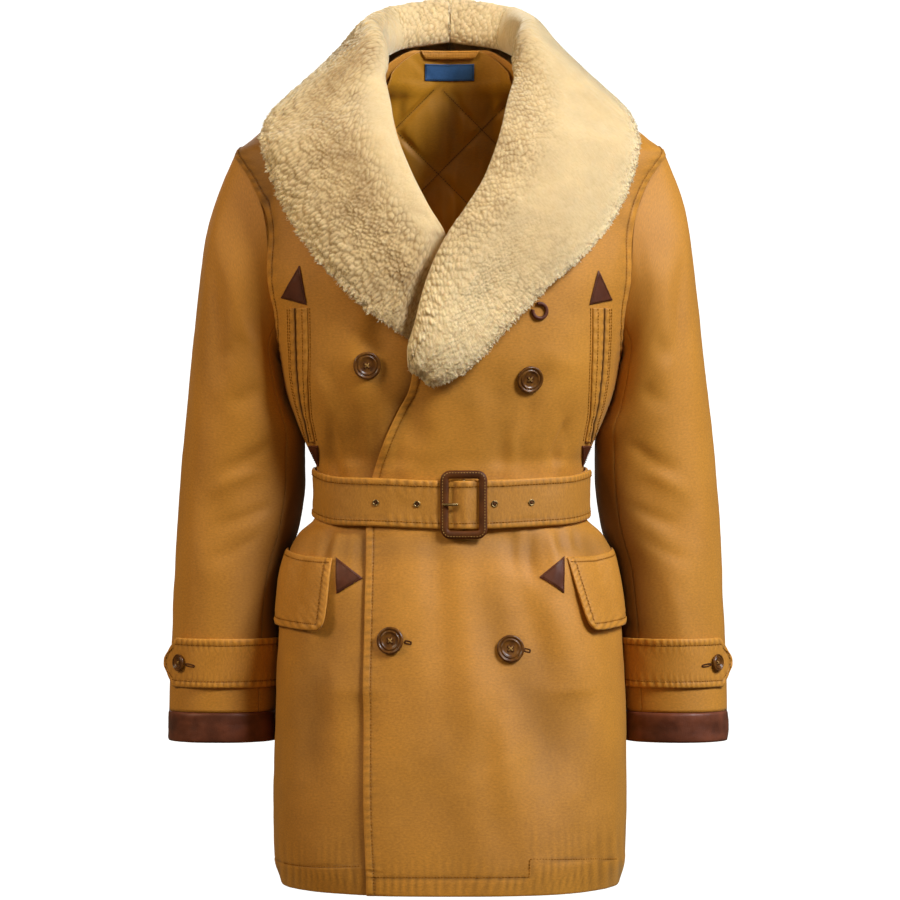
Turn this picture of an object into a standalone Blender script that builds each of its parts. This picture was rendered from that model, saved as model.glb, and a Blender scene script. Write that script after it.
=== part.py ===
"""A belted double-breasted coat with a shearling shawl collar, filled out as worn, built as a maker cuts it.

Sizes are in millimetres and become metres where a mesh is made. +Z is up and the coat faces -Y.
The origin is where the shoulders carry the coat: the middle of the neck opening, level with its side points.
"Over" is the front that lies on top, on the wearer's left (+X); "under" is the one beneath it (-X).
"""

import math

import bmesh
import bpy
import numpy as np
from mathutils.bvhtree import BVHTree

MM = 0.001

# ---------------------------------------------------------------- driving sizes, mm
HEM_Z = -846.0
NECK_SIDE_Z = 8.0
NECK_BACK_Z = 46.0
NECK_HALF_WIDTH = 80.0
SHOULDER_Z = -77.0
UNDERARM_Z = -289.0
CLOTH = 2.5
LINING_CLOTH = 1.5
GAP = 0.5
RESTING_GAP = 0.9
OVERLAP_LIFT = CLOTH + RESTING_GAP
HIDDEN_DROP = 3.0
ARMHOLE_FRONT, ARMHOLE_BACK = 60.0, 64.0

# The body of the coat at each height: half width, and where its front, sides and back lie.
BODY_COLUMNS = ("z", "half_width", "front", "side", "back", "square")
BODY = (
    (-846, 178, -148, 0, 138, 2.4),
    (-815, 185, -149, 0, 138, 2.5),
    (-760, 187, -147, 0, 136, 2.5),
    (-660, 185, -140, 0, 132, 2.5),
    (-590, 182, -132, 0, 125, 2.5),
    (-530, 178, -124, 0, 117, 2.45),
    (-498, 171, -117, 0, 111, 2.4),
    (-478, 160, -112, 0, 106, 2.35),
    (-462, 143, -110, 0, 102, 2.3),
    (-434, 138, -109, 0, 101, 2.3),
    (-405, 141, -111, 0, 103, 2.3),
    (-386, 150, -115, 0, 106, 2.35),
    (-360, 161, -120, 0, 111, 2.45),
    (-330, 172, -125, 0, 116, 2.5),
    (-290, 180, -129, 0, 121, 2.6),
    (-250, 188, -131, 0, 124, 2.6),
    (-212, 199, -130, 0, 125, 2.6),
    (-148, 205, -121, 0, 122, 2.6),
    (-110, 216, -110, 1, 117, 2.5),
    (-77, 228, -97, 2, 112, 2.3),
    (-63, 213, -87, 3, 109, 2.2),
    (-46, 193, -75, 4, 106, 2.1),
    (-24, 150, -56, 5, 102, 2.1),
    (-6, 110, -36, 6, 99, 2.1),
    (8, 82, -16, 6, 95, 2.1),
    (30, 80, -14, 6, 88, 2.1),
    (46, 78, -12, 6, 84, 2.1),
)

# Where each front's own edge lies: past the centre line below, along the collar's roll above.
EDGE_COLUMNS = ("z", "past_centre")
EDGE = (
    (-846, -84), (-750, -88), (-650, -89), (-546, -88), (-474, -86), (-423, -81), (-382, -68),
    (-351, -54), (-328, -42), (-284, -34), (-248, -28), (-207, -13), (-173, 3), (-135, 24),
    (-83, 48), (-32, 63), (8, 77),
)

# Soft troughs (-) and ridges (+) of the body, by plan angle: 0 is the front, +90 the wearer's left side.
FOLD_COLUMNS = ("start_angle", "end_angle", "start_z", "end_z", "width", "depth")
FOLDS = (
    (-66, -72, -474, -620, 7, -5), (-50, -52, -474, -600, 7, 3.5), (-36, -34, -474, -640, 6.5, -5),
    (-8, 2, -474, -700, 8, -3), (30, 46, -474, -740, 7.5, -5), (50, 60, -474, -640, 7, 3.5),
    (66, 72, -474, -640, 7, -5), (48, 14, -640, -830, 11, -3.5), (-38, -54, -640, -840, 10, -3.5),
    (-52, -46, -405, -300, 7, -4.5), (-26, -18, -408, -290, 7, -3.5), (26, 18, -408, -290, 7, -3.5),
    (54, 48, -405, -300, 7, -4.5), (108, 111, -468, -680, 8, -5), (132, 136, -468, -640, 8, -4.5),
    (156, 158, -468, -720, 8, -4.5), (180, 180, -468, -680, 8, -4.5), (-156, -154, -468, -650, 8, -4.5),
    (-134, -137, -468, -730, 8, -5), (-110, -112, -468, -650, 8, -5), (122, 130, -400, -260, 8, -4.5),
    (160, 166, -400, -270, 8, -4.5), (-122, -130, -400, -260, 8, -4.5), (-158, -164, -400, -280, 8, -4.5),
)

# The sleeve: its outer line from shoulder to cuff, its inner line from underarm to cuff, and its depth.
SLEEVE_COLUMNS = ("out_x", "out_z", "in_x", "in_z", "mid_y", "half_depth")
SLEEVE = (
    (228, -77, 180, -289, 1, 62), (243, -112, 182, -297, 4, 65), (254, -150, 180, -306, 8, 68),
    (261, -195, 176.5, -318, 13, 70), (267, -245, 172, -332, 18, 71), (273, -300, 164.5, -352, 23, 70),
    (279, -355, 154.5, -380, 27, 68), (284, -412, 154.5, -420, 30, 66), (288, -466, 160.5, -466, 31, 64),
    (291, -520, 176, -520, 32, 62), (293, -575, 183, -575, 33, 60), (295, -630, 186, -630, 34, 58),
    (296, -667, 186.5, -667, 34, 57), (296.5, -699, 186, -699, 34, 56),
)
UNDER_SIDE_EASE = 4.0
CUFF_ROW, SLEEVE_END_ROW = 12.0, 13.0
FRONT_SLEEVE_SEAM, BACK_SLEEVE_SEAM = 135.0, 225.0
SLEEVE_FOLD_COLUMNS = ("row", "angle", "slant", "length", "width", "depth")
SLEEVE_FOLDS = (
    (3.6, 60, 4, 3.0, 16, -3.5), (4.2, 15, 2, 3.5, 18, -2.5), (7.2, 100, -14, 1.1, 20, -4.0),
    (8.1, 75, 16, 1.0, 20, -3.0), (8.6, 250, 14, 1.1, 22, -3.5), (7.4, 280, -12, 1.1, 22, -3.5),
    (10.0, 40, 3, 1.6, 20, -2.0), (4.0, 300, 4, 2.6, 20, -3.0),
)

# The collar round the neck: the line that runs through the middle of its pile, in planes through the
# neck's axis. Distances are from that axis, at each turn from the front (0) round to the back (180).
NECK_AXIS_Y = 8.0
COLLAR_NECK_COLUMNS = (
    "turn", "seam_r", "seam_z", "stand_r", "stand_z", "roll_r", "roll_z",
    "fall_r", "fall_z", "hang_r", "hang_z", "edge_r", "edge_z",
)
COLLAR_NECK = (
    (180, 77, 50.0, 79, 69, 94, 94, 114, 68, 122, 14, 117, -44),
    (135, 81, 38.0, 82, 60, 96, 80, 117, 53, 132, 8, 144, -44),
    (92, 81, 17.0, 78, 43, 85, 60, 107, 39, 143, 3, 188, -37),
    (76, 78, 13.0, 75, 31, 84, 48, 107, 30, 144, -2, 199, -46),
)
# The lapels: the inner (roll) and outer ends of sections across them, as seen from the front.
LAPEL_COLUMNS = ("in_x", "in_z", "out_x", "out_z")
OVER_LAPEL = (
    (58, -30, 196, -78), (48, -74, 182, -120), (32, -116, 163, -158), (16, -143, 135, -194),
    (-3, -171, 98, -227), (-17, -197, 79, -247), (-28, -227, 58, -268), (-36, -260, 27, -301),
    (-43, -288, 0, -318), (-42, -307, -22, -325),
)
UNDER_LAPEL = (
    (60, -30, 196, -76), (54, -66, 184, -106), (38, -106, 168, -143), (21, -140, 146, -182),
    (2, -172, 110, -225), (-4, -198, 84, -249), (6, -226, 66, -261), (14, -249, 50, -271),
    (22, -267, 38, -280),
)
PILE = 20.0
TUCKED_PILE = 8.0
EDGE_PILE = 0.3
TUCK_LIFT = 10.0

BELT_WIDTH, BELT_CLOTH = 50.0, 2.2
BELT_COLUMNS = ("angle", "middle_z")
BELT_FRONT_Z = -446.5
BELT_LINE = ((0, BELT_FRONT_Z), (45, -443), (90, -434), (135, -429), (180, -427))
BUCKLE_X, BUCKLE_HALF_WIDTH, BUCKLE_HALF_HEIGHT = 14.2, 19.9, 31.0
BUCKLE_CORNER, BUCKLE_BAR_RADIUS = 6.0, 1.3
BUCKLE_TUBE_WIDE, BUCKLE_TUBE_THICK = 4.3, 2.3
EYELETS_X = (-76.5, -34.0, 45.8, 84.0)

BUTTON_COLUMNS = ("name", "side", "x", "z", "radius")
BUTTONS = (
    ("button_upper_under", -1, -85.5, -303, 14.3), ("button_upper_over", 1, 81.5, -317, 14.3),
    ("button_lower_fastened", 1, -60.5, -586, 14.3), ("button_lower_over", 1, 62.0, -594, 14.3),
)
CUFF_BUTTON_RADIUS = 9.2

COLOURS = {
    "cloth": ((0.46, 0.24, 0.065), 0.85),
    "lining": ((0.42, 0.22, 0.04), 0.6),
    "shearling": ((0.84, 0.70, 0.48), 0.95),
    "leather": ((0.09, 0.035, 0.025), 0.45),
    "horn": ((0.10, 0.045, 0.02), 0.3),
    "brass": ((0.45, 0.33, 0.15), 0.35),
    "label": ((0.05, 0.10, 0.22), 0.7),
}


# ---------------------------------------------------------------- curves
def smooth_curve(xs, ys):
    """A curve through the points that never overshoots them, as a function."""
    xs, ys = np.asarray(xs, float), np.asarray(ys, float)
    step, rise = np.diff(xs), np.diff(ys) / np.diff(xs)
    slope = np.concatenate([[rise[0]], np.zeros(len(xs) - 2), [rise[-1]]])
    same_way = rise[:-1] * rise[1:] > 0
    w1, w2 = 2 * step[1:] + step[:-1], step[1:] + 2 * step[:-1]
    with np.errstate(divide="ignore", invalid="ignore"):
        mean = (w1 + w2) / (w1 / rise[:-1] + w2 / rise[1:])
    slope[1:-1] = np.where(same_way, mean, 0.0)

    def at(x):
        x = np.clip(np.asarray(x, float), xs[0], xs[-1])
        i = np.clip(np.searchsorted(xs, x, side="right") - 1, 0, len(xs) - 2)
        t = (x - xs[i]) / step[i]
        return (
            ys[i] * (1 + 2 * t) * (1 - t) ** 2
            + slope[i] * step[i] * t * (1 - t) ** 2
            + ys[i + 1] * t * t * (3 - 2 * t)
            - slope[i + 1] * step[i] * t * t * (1 - t)
        )

    return at


def columns_of(columns, rows):
    """A table as one smooth curve for each column, by the first column."""
    table = np.array(rows, float)
    return {name: smooth_curve(table[:, 0], table[:, k]) for k, name in enumerate(columns)}


def ramp(x, start, end):
    """0 before start, 1 after end, and smooth between; start may lie above end."""
    t = np.clip((np.asarray(x, float) - start) / (end - start), 0, 1)
    return t * t * (3 - 2 * t)


def mix(a, b, t):
    return a + (b - a) * t


body = columns_of(BODY_COLUMNS, BODY)
front_edge = columns_of(EDGE_COLUMNS, EDGE)["past_centre"]
belt_middle = columns_of(BELT_COLUMNS, BELT_LINE)["middle_z"]


# ---------------------------------------------------------------- the body's surface
def body_point(turn, z):
    """The body at a turn (radians, 0 front, + towards the over side, pi back) and height."""
    turn, z = np.broadcast_arrays(np.asarray(turn, float), np.asarray(z, float))
    power = 2 / body["square"](z)
    across, along = np.sin(turn), np.cos(turn)
    far = np.where(along > 0, body["front"](z), body["back"](z))
    x = body["half_width"](z) * np.sign(across) * np.abs(across) ** power
    y = body["side"](z) + (far - body["side"](z)) * np.abs(along) ** power
    return np.stack([x, y, z], axis=-1)


def turn_at_x(x, z, at_back=False):
    """The turn where the body is x across, on its front or its back half."""
    share = np.clip(np.abs(x) / body["half_width"](z), 0, 1) ** (body["square"](z) / 2)
    turn = np.arcsin(share)
    return np.where(np.asarray(x) < 0, -1, 1) * (np.pi - turn if at_back else turn)


def turn_at_y(y, z):
    """The turn (0 to pi) where the body's wall lies at that y."""
    ahead = y < body["side"](z)
    far = np.where(ahead, body["front"](z), body["back"](z)) - body["side"](z)
    share = np.clip((y - body["side"](z)) / far, 0, 1) ** (body["square"](z) / 2)
    turn = np.arccos(share)
    return np.where(ahead, turn, np.pi - turn)


def outward(point, a, b, step_a, step_b):
    """The unit normal of a surface point(a, b), turned so that a x b points out."""
    along_a = point(a + step_a, b) - point(a - step_a, b)
    along_b = point(a, b + step_b) - point(a, b - step_b)
    normal = np.cross(along_a, along_b)
    return normal / np.linalg.norm(normal, axis=-1, keepdims=True)


def body_normal(turn, z):
    return outward(body_point, turn, z, 0.02, 1.0)


def body_folds(points):
    """How far the folds push the body's cloth out (+) or in (-) at these points."""
    angle = np.degrees(np.arctan2(points[..., 0], -points[..., 1]))
    z = points[..., 2]
    push = np.zeros(z.shape)
    for start_angle, end_angle, start_z, end_z, width, depth in FOLDS:
        run = np.clip((z - start_z) / (end_z - start_z), 0, 1)
        middle = mix(start_angle, end_angle, run)
        away = (angle - middle + 180) % 360 - 180
        push += depth * np.exp(-((away / width) ** 2)) * np.sin(np.pi * run**0.6)
    return push


def tuck_lift(x, z):
    """How far the over front rises to pass over the end of the under lapel."""
    inside = x - front_edge(z)
    return TUCK_LIFT * ramp(z, -318, -270) * ramp(z, -110, -165) * ramp(inside, 75, 8)


def over_lift(x, z):
    """The over front's height above the body's own surface."""
    low = OVERLAP_LIFT * ramp(x, 165, 105)
    return low + tuck_lift(x, z)


def under_drop(x, z):
    """How far the under front sinks where the over front hides it."""
    return -HIDDEN_DROP * ramp(x - front_edge(z), -5, 15)


def on_body(turn, z, height, layer="back"):
    """Points on the coat's cloth ("over", "under" or "back"), that far above its outer face."""
    base = body_point(turn, z)
    x = base[..., 0]
    lift = {"over": over_lift, "under": under_drop}.get(layer, lambda x, z: 0.0)(x, base[..., 2])
    push = body_folds(base) + lift + height
    return base + body_normal(turn, z) * np.asarray(push)[..., None]


def spread(turn_a, turn_b, z, count, closeness=None):
    """Turns from a to b along the body at that height, evenly spaced by length."""
    turns = np.linspace(turn_a, turn_b, 120)
    steps = np.linalg.norm(np.diff(body_point(turns, z), axis=0), axis=1)
    run = np.concatenate([[0], np.cumsum(steps)])
    shares = np.linspace(0, 1, count) if closeness is None else closeness
    return np.interp(shares * run[-1], run, turns)


def armhole_height(angle):
    return (SHOULDER_Z + UNDERARM_Z) / 2 + (SHOULDER_Z - UNDERARM_Z) / 2 * np.cos(angle)


def armhole_y(z, reach):
    """The armhole's edge ahead of (-) or behind (+) the side line at a height."""
    half = (SHOULDER_Z - UNDERARM_Z) / 2
    height = np.clip((z - (SHOULDER_Z + UNDERARM_Z) / 2) / half, -1, 1)
    return body["side"](z) + reach * np.sqrt(1 - height**2)


def panel_heights(below, around_arm, above):
    """Row heights: spaced to suit the skirt, then the armhole's curve, then the shoulder."""
    arm = armhole_height(np.linspace(np.pi, 0, around_arm))
    return np.concatenate([below, arm, above])


SKIRT_ROWS = np.array([
    HEM_Z, -825, -770, -710, -655, -605, -560, -522, -498, -478, -462, -434, -408, -388, -356, -318,
])
FRONT_COLUMNS, BACK_COLUMNS, LINING_COLUMNS, ARMHOLE_ROWS = 14, 21, 15, 9
SHOULDER_ROWS = np.array([-66, -52, -36, -18, -3])


# ---------------------------------------------------------------- making meshes
def material(slot):
    found = bpy.data.materials.get(slot)
    if found:
        return found
    colour, roughness = COLOURS[slot]
    made = bpy.data.materials.new(slot)
    made.use_nodes = True
    shader = made.node_tree.nodes["Principled BSDF"]
    shader.inputs["Base Color"].default_value = (*colour, 1)
    shader.inputs["Roughness"].default_value = roughness
    shader.inputs["Metallic"].default_value = 1.0 if slot == "brass" else 0.0
    return made


def add_object(name, bm, slot):
    """One object from a closed bmesh in millimetres, with its faces turned outward."""
    bmesh.ops.scale(bm, vec=(MM, MM, MM), verts=bm.verts)
    bmesh.ops.recalc_face_normals(bm, faces=bm.faces)
    if bm.calc_volume(signed=True) < 0:
        bmesh.ops.reverse_faces(bm, faces=bm.faces)
    mesh = bpy.data.meshes.new(name)
    bm.to_mesh(mesh)
    bm.free()
    mesh.shade_smooth()
    mesh.set_sharp_from_angle(angle=math.radians(40))
    mesh.materials.append(material(slot))
    made = bpy.data.objects.new(name, mesh)
    bpy.context.scene.collection.objects.link(made)
    return made


SKINS = {}


def keep_skin(name, outer):
    """Remember a panel's outer face, so that what lies on it can be seated there."""
    rows, columns = outer.shape[:2]
    at = np.arange(rows * columns).reshape(rows, columns)
    quads = np.stack([at[:-1, :-1], at[:-1, 1:], at[1:, 1:], at[1:, :-1]], axis=-1).reshape(-1, 4)
    SKINS[name] = BVHTree.FromPolygons(outer.reshape(-1, 3).tolist(), quads.tolist())


def clear_shift(points, skins, gap, away):
    """How far to move points along their own directions until they lie a gap outside the skins."""
    flat, ways = points.reshape(-1, 3), np.broadcast_to(away, points.shape).reshape(-1, 3)
    moves = np.zeros(len(flat))
    for k, (point, way) in enumerate(zip(flat, ways)):
        for skin in skins:
            start = point + way * 40.0
            hit = SKINS[skin].ray_cast(start.tolist(), (-way).tolist(), 80.0)[0]
            if hit is not None:
                depth = float(np.dot(np.array(hit) - point, way)) + gap
                moves[k] = max(moves[k], depth)
    return moves.reshape(points.shape[:-1])


def rested(top, low, skins, gap=RESTING_GAP, where=1.0):
    """The same two grids, lifted together wherever the lower one would meet a skin."""
    away = top - low
    away = away / np.linalg.norm(away, axis=-1, keepdims=True)
    shift = (clear_shift(low, skins, gap, away) * where)[..., None] * away
    return top + shift, low + shift


def wall(name, outer, inner, slot, ring=False):
    """A closed wall between two grids of points; a ring's last column meets its first."""
    rows, columns = outer.shape[:2]
    bm = bmesh.new()
    top = [[bm.verts.new(p) for p in row] for row in outer.tolist()]
    low = [[bm.verts.new(p) for p in row] for row in inner.tolist()]
    across = columns if ring else columns - 1
    for i in range(rows - 1):
        for j in range(across):
            k = (j + 1) % columns
            bm.faces.new((top[i][j], top[i][k], top[i + 1][k], top[i + 1][j]))
            bm.faces.new((low[i][j], low[i + 1][j], low[i + 1][k], low[i][k]))
    for j in range(across):
        k = (j + 1) % columns
        bm.faces.new((top[0][j], low[0][j], low[0][k], top[0][k]))
        bm.faces.new((top[-1][j], top[-1][k], low[-1][k], low[-1][j]))
    if not ring:
        for i in range(rows - 1):
            bm.faces.new((top[i][0], top[i + 1][0], low[i + 1][0], low[i][0]))
            bm.faces.new((top[i][-1], low[i][-1], low[i + 1][-1], top[i + 1][-1]))
    return add_object(name, bm, slot)


def swept_tube(name, path, across, up, wide, thick, sides, slot, ring=False):
    """A solid that follows a path, with an oval section: wide along across, thick along up."""
    bm = bmesh.new()
    turns = np.arange(sides) * 2 * np.pi / sides
    loops = []
    for point, side, rise in zip(path, across, up):
        oval = point + np.outer(np.cos(turns), side) * wide + np.outer(np.sin(turns), rise) * thick
        loops.append([bm.verts.new(p) for p in oval.tolist()])
    pairs = list(zip(loops, loops[1:])) + ([(loops[-1], loops[0])] if ring else [])
    for a, b in pairs:
        for j in range(sides):
            k = (j + 1) % sides
            bm.faces.new((a[j], a[k], b[k], b[j]))
    if not ring:
        bm.faces.new(loops[0])
        bm.faces.new(loops[-1][::-1])
    return add_object(name, bm, slot)


# ---------------------------------------------------------------- fronts and back
def front_panel(name, layer):
    """One front: from its own edge round to the side seam, the armhole and the shoulder."""
    side = 1 if layer == "over" else -1
    heights = panel_heights(SKIRT_ROWS, ARMHOLE_ROWS, np.append(SHOULDER_ROWS, NECK_SIDE_Z - 4))
    rows = []
    for z in heights:
        reach = body["side"](z) - GAP / 2
        if z <= SHOULDER_Z:
            reach = min(reach, armhole_y(z, -ARMHOLE_FRONT))
        rows.append(side * spread(turn_at_x(front_edge(z), z), turn_at_y(reach, z), z, FRONT_COLUMNS))
    turns, levels = np.array(rows), np.repeat(heights[:, None], FRONT_COLUMNS, axis=1)
    outer = on_body(turns, levels, 0.0, layer)
    past_edge = turns[:, :1] + side * np.radians([-24, -16, -8])
    beyond = on_body(past_edge, levels[:, :3], 0.0, layer)
    keep_skin(layer, outer)
    keep_skin(f"{layer}_and_beyond", np.concatenate([beyond, outer], axis=1))
    return wall(name, outer, on_body(turns, levels, -CLOTH, layer), "cloth")


def neckline_half_width(z):
    rise = (z - NECK_SIDE_Z) / (NECK_BACK_Z - NECK_SIDE_Z)
    return NECK_HALF_WIDTH * (1 - np.clip(rise, 0, 1)) ** 0.31


def back_panel():
    """The back, in one piece from side seam to side seam and up to the neck seam."""
    heights = panel_heights(
        SKIRT_ROWS, ARMHOLE_ROWS, np.concatenate([SHOULDER_ROWS, [NECK_SIDE_Z, 12, 20, 32, 42]])
    )
    rows = []
    for z in heights:
        reach = body["side"](z) + GAP / 2
        if z <= SHOULDER_Z:
            reach = max(reach, armhole_y(z, ARMHOLE_BACK))
        seam = turn_at_y(reach, z)
        if z > NECK_SIDE_Z:
            seam = turn_at_x(neckline_half_width(z), z, at_back=True)
        rows.append(spread(seam, 2 * np.pi - seam, z, BACK_COLUMNS))
    turns, levels = np.array(rows), np.repeat(heights[:, None], BACK_COLUMNS, axis=1)
    outer = on_body(turns, levels, 0.0)
    keep_skin("back", outer)
    return wall("back", outer, on_body(turns, levels, -CLOTH), "cloth")


def quilting(x, z):
    """Height of the lining's pillows between diagonal rows of stitching."""
    spacing, first_down, first_up = 67.0, -12.6, -5.5
    down = np.pi * ((x - z) * math.sqrt(0.5) - first_down) / spacing
    up = np.pi * ((x + z) * math.sqrt(0.5) - first_up) / spacing
    return 2.2 * np.abs(np.sin(down) * np.sin(up)) ** 0.5


def lining_depth(z):
    """How far inside the cloth's outer face the lining's back lies: looser lower down."""
    return CLOTH + mix(3.5, 8.0, ramp(z, -40, -240))


def back_lining():
    """The quilted lining that shows inside the back of the neck."""
    heights = np.concatenate([np.linspace(-300, NECK_SIDE_Z - 6, 14), [14, 26, 36, 42]])
    rows = []
    for z in heights:
        half = min(150.0, body["half_width"](z) - 12)
        if z > NECK_SIDE_Z - 6:
            half = min(half, neckline_half_width(z) - 6)
        seam = turn_at_x(half, z, at_back=True)
        rows.append(spread(seam, 2 * np.pi - seam, z, LINING_COLUMNS))
    turns, levels = np.array(rows), np.repeat(heights[:, None], LINING_COLUMNS, axis=1)
    depth = lining_depth(levels)
    plain = on_body(turns, levels, -depth)
    pillows = quilting(plain[..., 0], levels)
    quilted = on_body(turns, levels, -(depth + LINING_CLOTH + pillows))
    keep_skin("back_lining", quilted)
    return wall("back_lining", plain, quilted, "lining")


# ---------------------------------------------------------------- sleeves
sleeve_rows = {
    name: smooth_curve(range(len(SLEEVE)), [row[k] for row in SLEEVE])
    for k, name in enumerate(SLEEVE_COLUMNS)
}


def sleeve_point(angle, row):
    """The sleeve at an angle (radians: 0 outside, pi/2 front, pi inside) and table row."""
    angle, row = np.broadcast_arrays(np.asarray(angle, float), np.asarray(row, float))
    cap = {name: curve(row) for name, curve in sleeve_rows.items()}
    share = (1 + np.cos(angle)) / 2
    x = mix(cap["in_x"], cap["out_x"], share)
    z = mix(cap["in_z"], cap["out_z"], share)
    y = cap["mid_y"] - cap["half_depth"] * np.sin(angle)
    # At the armhole the sleeve starts from the body's own surface.
    start_z = mix(UNDERARM_Z, SHOULDER_Z, share)
    reach = np.where(np.sin(angle) > 0, -ARMHOLE_FRONT, ARMHOLE_BACK)
    start_y = armhole_y(start_z, reach)
    start = body_point(turn_at_y(start_y, start_z), start_z)
    line_x = mix(SLEEVE[0][2], SLEEVE[0][0], share)
    line_y = SLEEVE[0][4] - SLEEVE[0][5] * np.sin(angle)
    held = 1 - ramp(row, 0, 2.5)
    x = x + held * (start[..., 0] - line_x)
    y = y + held * (start[..., 1] - line_y)
    return np.stack([x, y, z], axis=-1)


def sleeve_normal(angle, row):
    row = np.clip(row, 0.02, SLEEVE_END_ROW - 0.02)
    return outward(sleeve_point, angle, row, 0.01, 0.02)


def sleeve_folds(angle, row):
    push = np.zeros(np.broadcast(angle, row).shape)
    for at_row, at_angle, slant, length, width, depth in SLEEVE_FOLDS:
        along = (row - at_row) / length
        away = (np.degrees(angle) - at_angle - slant * along + 180) % 360 - 180
        push = push + depth * np.exp(-((away / width) ** 2) - along**2 * 2)
    return push


def on_sleeve(angle, row, height, side):
    """Points on one sleeve's outer face, that far above it; side is +1 or -1."""
    push = sleeve_folds(angle, row) * ramp(row, 0, 1.5) * ramp(row, SLEEVE_END_ROW, 11) + height
    points = sleeve_point(angle, row) + sleeve_normal(angle, row) * push[..., None]
    if side < 0:
        ease = UNDER_SIDE_EASE * ramp(row, 0, 3) * ramp(np.cos(angle), -0.6, 0.6)
        points = points + np.stack([ease, 0 * ease, 0 * ease], axis=-1)
    return points * np.array([side, 1, 1])


def sleeve_piece(name, side, angles):
    rows = np.concatenate([[0.0, 0.5], np.linspace(1.2, CUFF_ROW, 15)])
    angle, row = np.meshgrid(np.radians(angles), rows)
    leave = (1 - ramp(row, 0, 0.9))[..., None] * np.array([side, 0, 0]) * 1.2
    outer = on_sleeve(angle, row, 0.0, side) + leave
    inner = on_sleeve(angle, row, -CLOTH, side) + leave
    keep_skin(name, outer)
    return wall(name, outer, inner, "cloth")


def sleeve(name, side):
    """The top sleeve and the under sleeve, which meet at a front and a back seam."""
    whole = np.linspace(BACK_SLEEVE_SEAM - 360, FRONT_SLEEVE_SEAM, 13)
    under = np.linspace(FRONT_SLEEVE_SEAM, BACK_SLEEVE_SEAM, 5)
    for angles in (whole, under):
        angles[0] += 0.35
        angles[-1] -= 0.35
    sleeve_piece(f"sleeve_top_{name}", side, whole)
    sleeve_piece(f"sleeve_under_{name}", side, under)


def cuff_binding(name, side):
    """The leather band that ends the sleeve."""
    angles = np.linspace(0, 2 * np.pi, 24, endpoint=False)
    angle, row = np.meshgrid(angles, [CUFF_ROW + 0.015, CUFF_ROW + 0.5, SLEEVE_END_ROW])
    return wall(
        f"cuff_binding_{name}",
        on_sleeve(angle, row, 0.6, side),
        on_sleeve(angle, row, -CLOTH + 0.3, side),
        "leather",
        ring=True,
    )


def row_at_height(z):
    """The sleeve's table row at a height, below the elbow, where its rings are level."""
    rows = np.linspace(8, SLEEVE_END_ROW, 200)
    return np.interp(-z, -sleeve_rows["out_z"](rows), rows)


CUFF_STRAP_Z, CUFF_STRAP_WIDTH = -615.0, 52.0
STRAP_START, STRAP_LEAVES = 172.0, 40.0
STRAP_POINT_LENGTH, STRAP_FREE_LENGTH = 21.0, 29.0
STRAP_FACE = 3.0


def strap_point(run, z, height, side):
    """The cuff strap's surface: round the sleeve, then straight on past its button."""
    turned = np.radians(np.clip(run, STRAP_LEAVES, STRAP_START))
    row = row_at_height(z)
    free = np.maximum(STRAP_LEAVES - run, 0) / STRAP_LEAVES * STRAP_FREE_LENGTH
    leaves = np.radians(STRAP_LEAVES)
    tangent = on_sleeve(leaves - 0.05, row, 0.0, side) - on_sleeve(leaves + 0.05, row, 0.0, side)
    tangent /= np.linalg.norm(tangent, axis=-1, keepdims=True)
    return on_sleeve(turned, row, height, side) + tangent * free[..., None]


def cuff_strap(name, side):
    runs = np.concatenate([np.linspace(STRAP_START, STRAP_LEAVES, 11), [26, 12, 5, 0]])
    shares = np.linspace(-1, 1, 5)
    free = np.maximum(STRAP_LEAVES - runs, 0) / STRAP_LEAVES * STRAP_FREE_LENGTH
    past = np.clip((free - (STRAP_FREE_LENGTH - STRAP_POINT_LENGTH)) / STRAP_POINT_LENGTH, 0, 1)
    half = CUFF_STRAP_WIDTH / 2 * (1 - 0.84 * past**1.15)
    z = CUFF_STRAP_Z + np.outer(half, shares)
    run = np.repeat(runs[:, None], len(shares), axis=1)
    top, low = strap_point(run, z, STRAP_FACE, side), strap_point(run, z, RESTING_GAP, side)
    top, low = rested(top, low, [f"sleeve_top_{name}", f"sleeve_under_{name}"])
    keep_skin(f"cuff_strap_{name}", top)
    return wall(f"cuff_strap_{name}", top, low, "cloth")


# ---------------------------------------------------------------- collar
SPINE_SHARES = np.array([0, 0.14, 0.3, 0.5, 0.75, 1.0])


def neck_section(row):
    """The six points of a collar section round the neck."""
    values = dict(zip(COLLAR_NECK_COLUMNS, row))
    turn = math.radians(values["turn"])
    points = []
    for part in ("seam", "stand", "roll", "fall", "hang", "edge"):
        r, z = values[part + "_r"], values[part + "_z"]
        points.append((r * math.sin(turn), NECK_AXIS_Y - r * math.cos(turn), z))
    return np.array(points)


def lapel_section(row, layer):
    """The six points of a lapel section, half a pile's depth above its front; + is toward its side."""
    in_x, in_z, out_x, out_z = row
    side = 1 if layer == "over" else -1
    x, z = mix(in_x, out_x, SPINE_SHARES), mix(in_z, out_z, SPINE_SHARES)
    reach = body["half_width"](z) * 0.995
    height = lapel_pile(x, z, layer) / 2 + GAP
    return on_front(np.clip(x, -reach, reach), z, height, side) * np.array([side, 1, 1])


def lapel_pile(x, z, layer):
    """The pile's depth, pressed thin where the under lapel goes beneath the over one."""
    if layer == "over":
        return np.full(np.shape(x), PILE)
    past = -x - np.interp(z, *over_roll_line())
    return mix(PILE, TUCKED_PILE, ramp(past, -22, -5) * ramp(z, -150, -180))


def over_roll_line():
    """The over lapel's inner edge, as heights and distances across."""
    rows = np.array(OVER_LAPEL)[::-1]
    return rows[:, 1], rows[:, 0]


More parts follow.
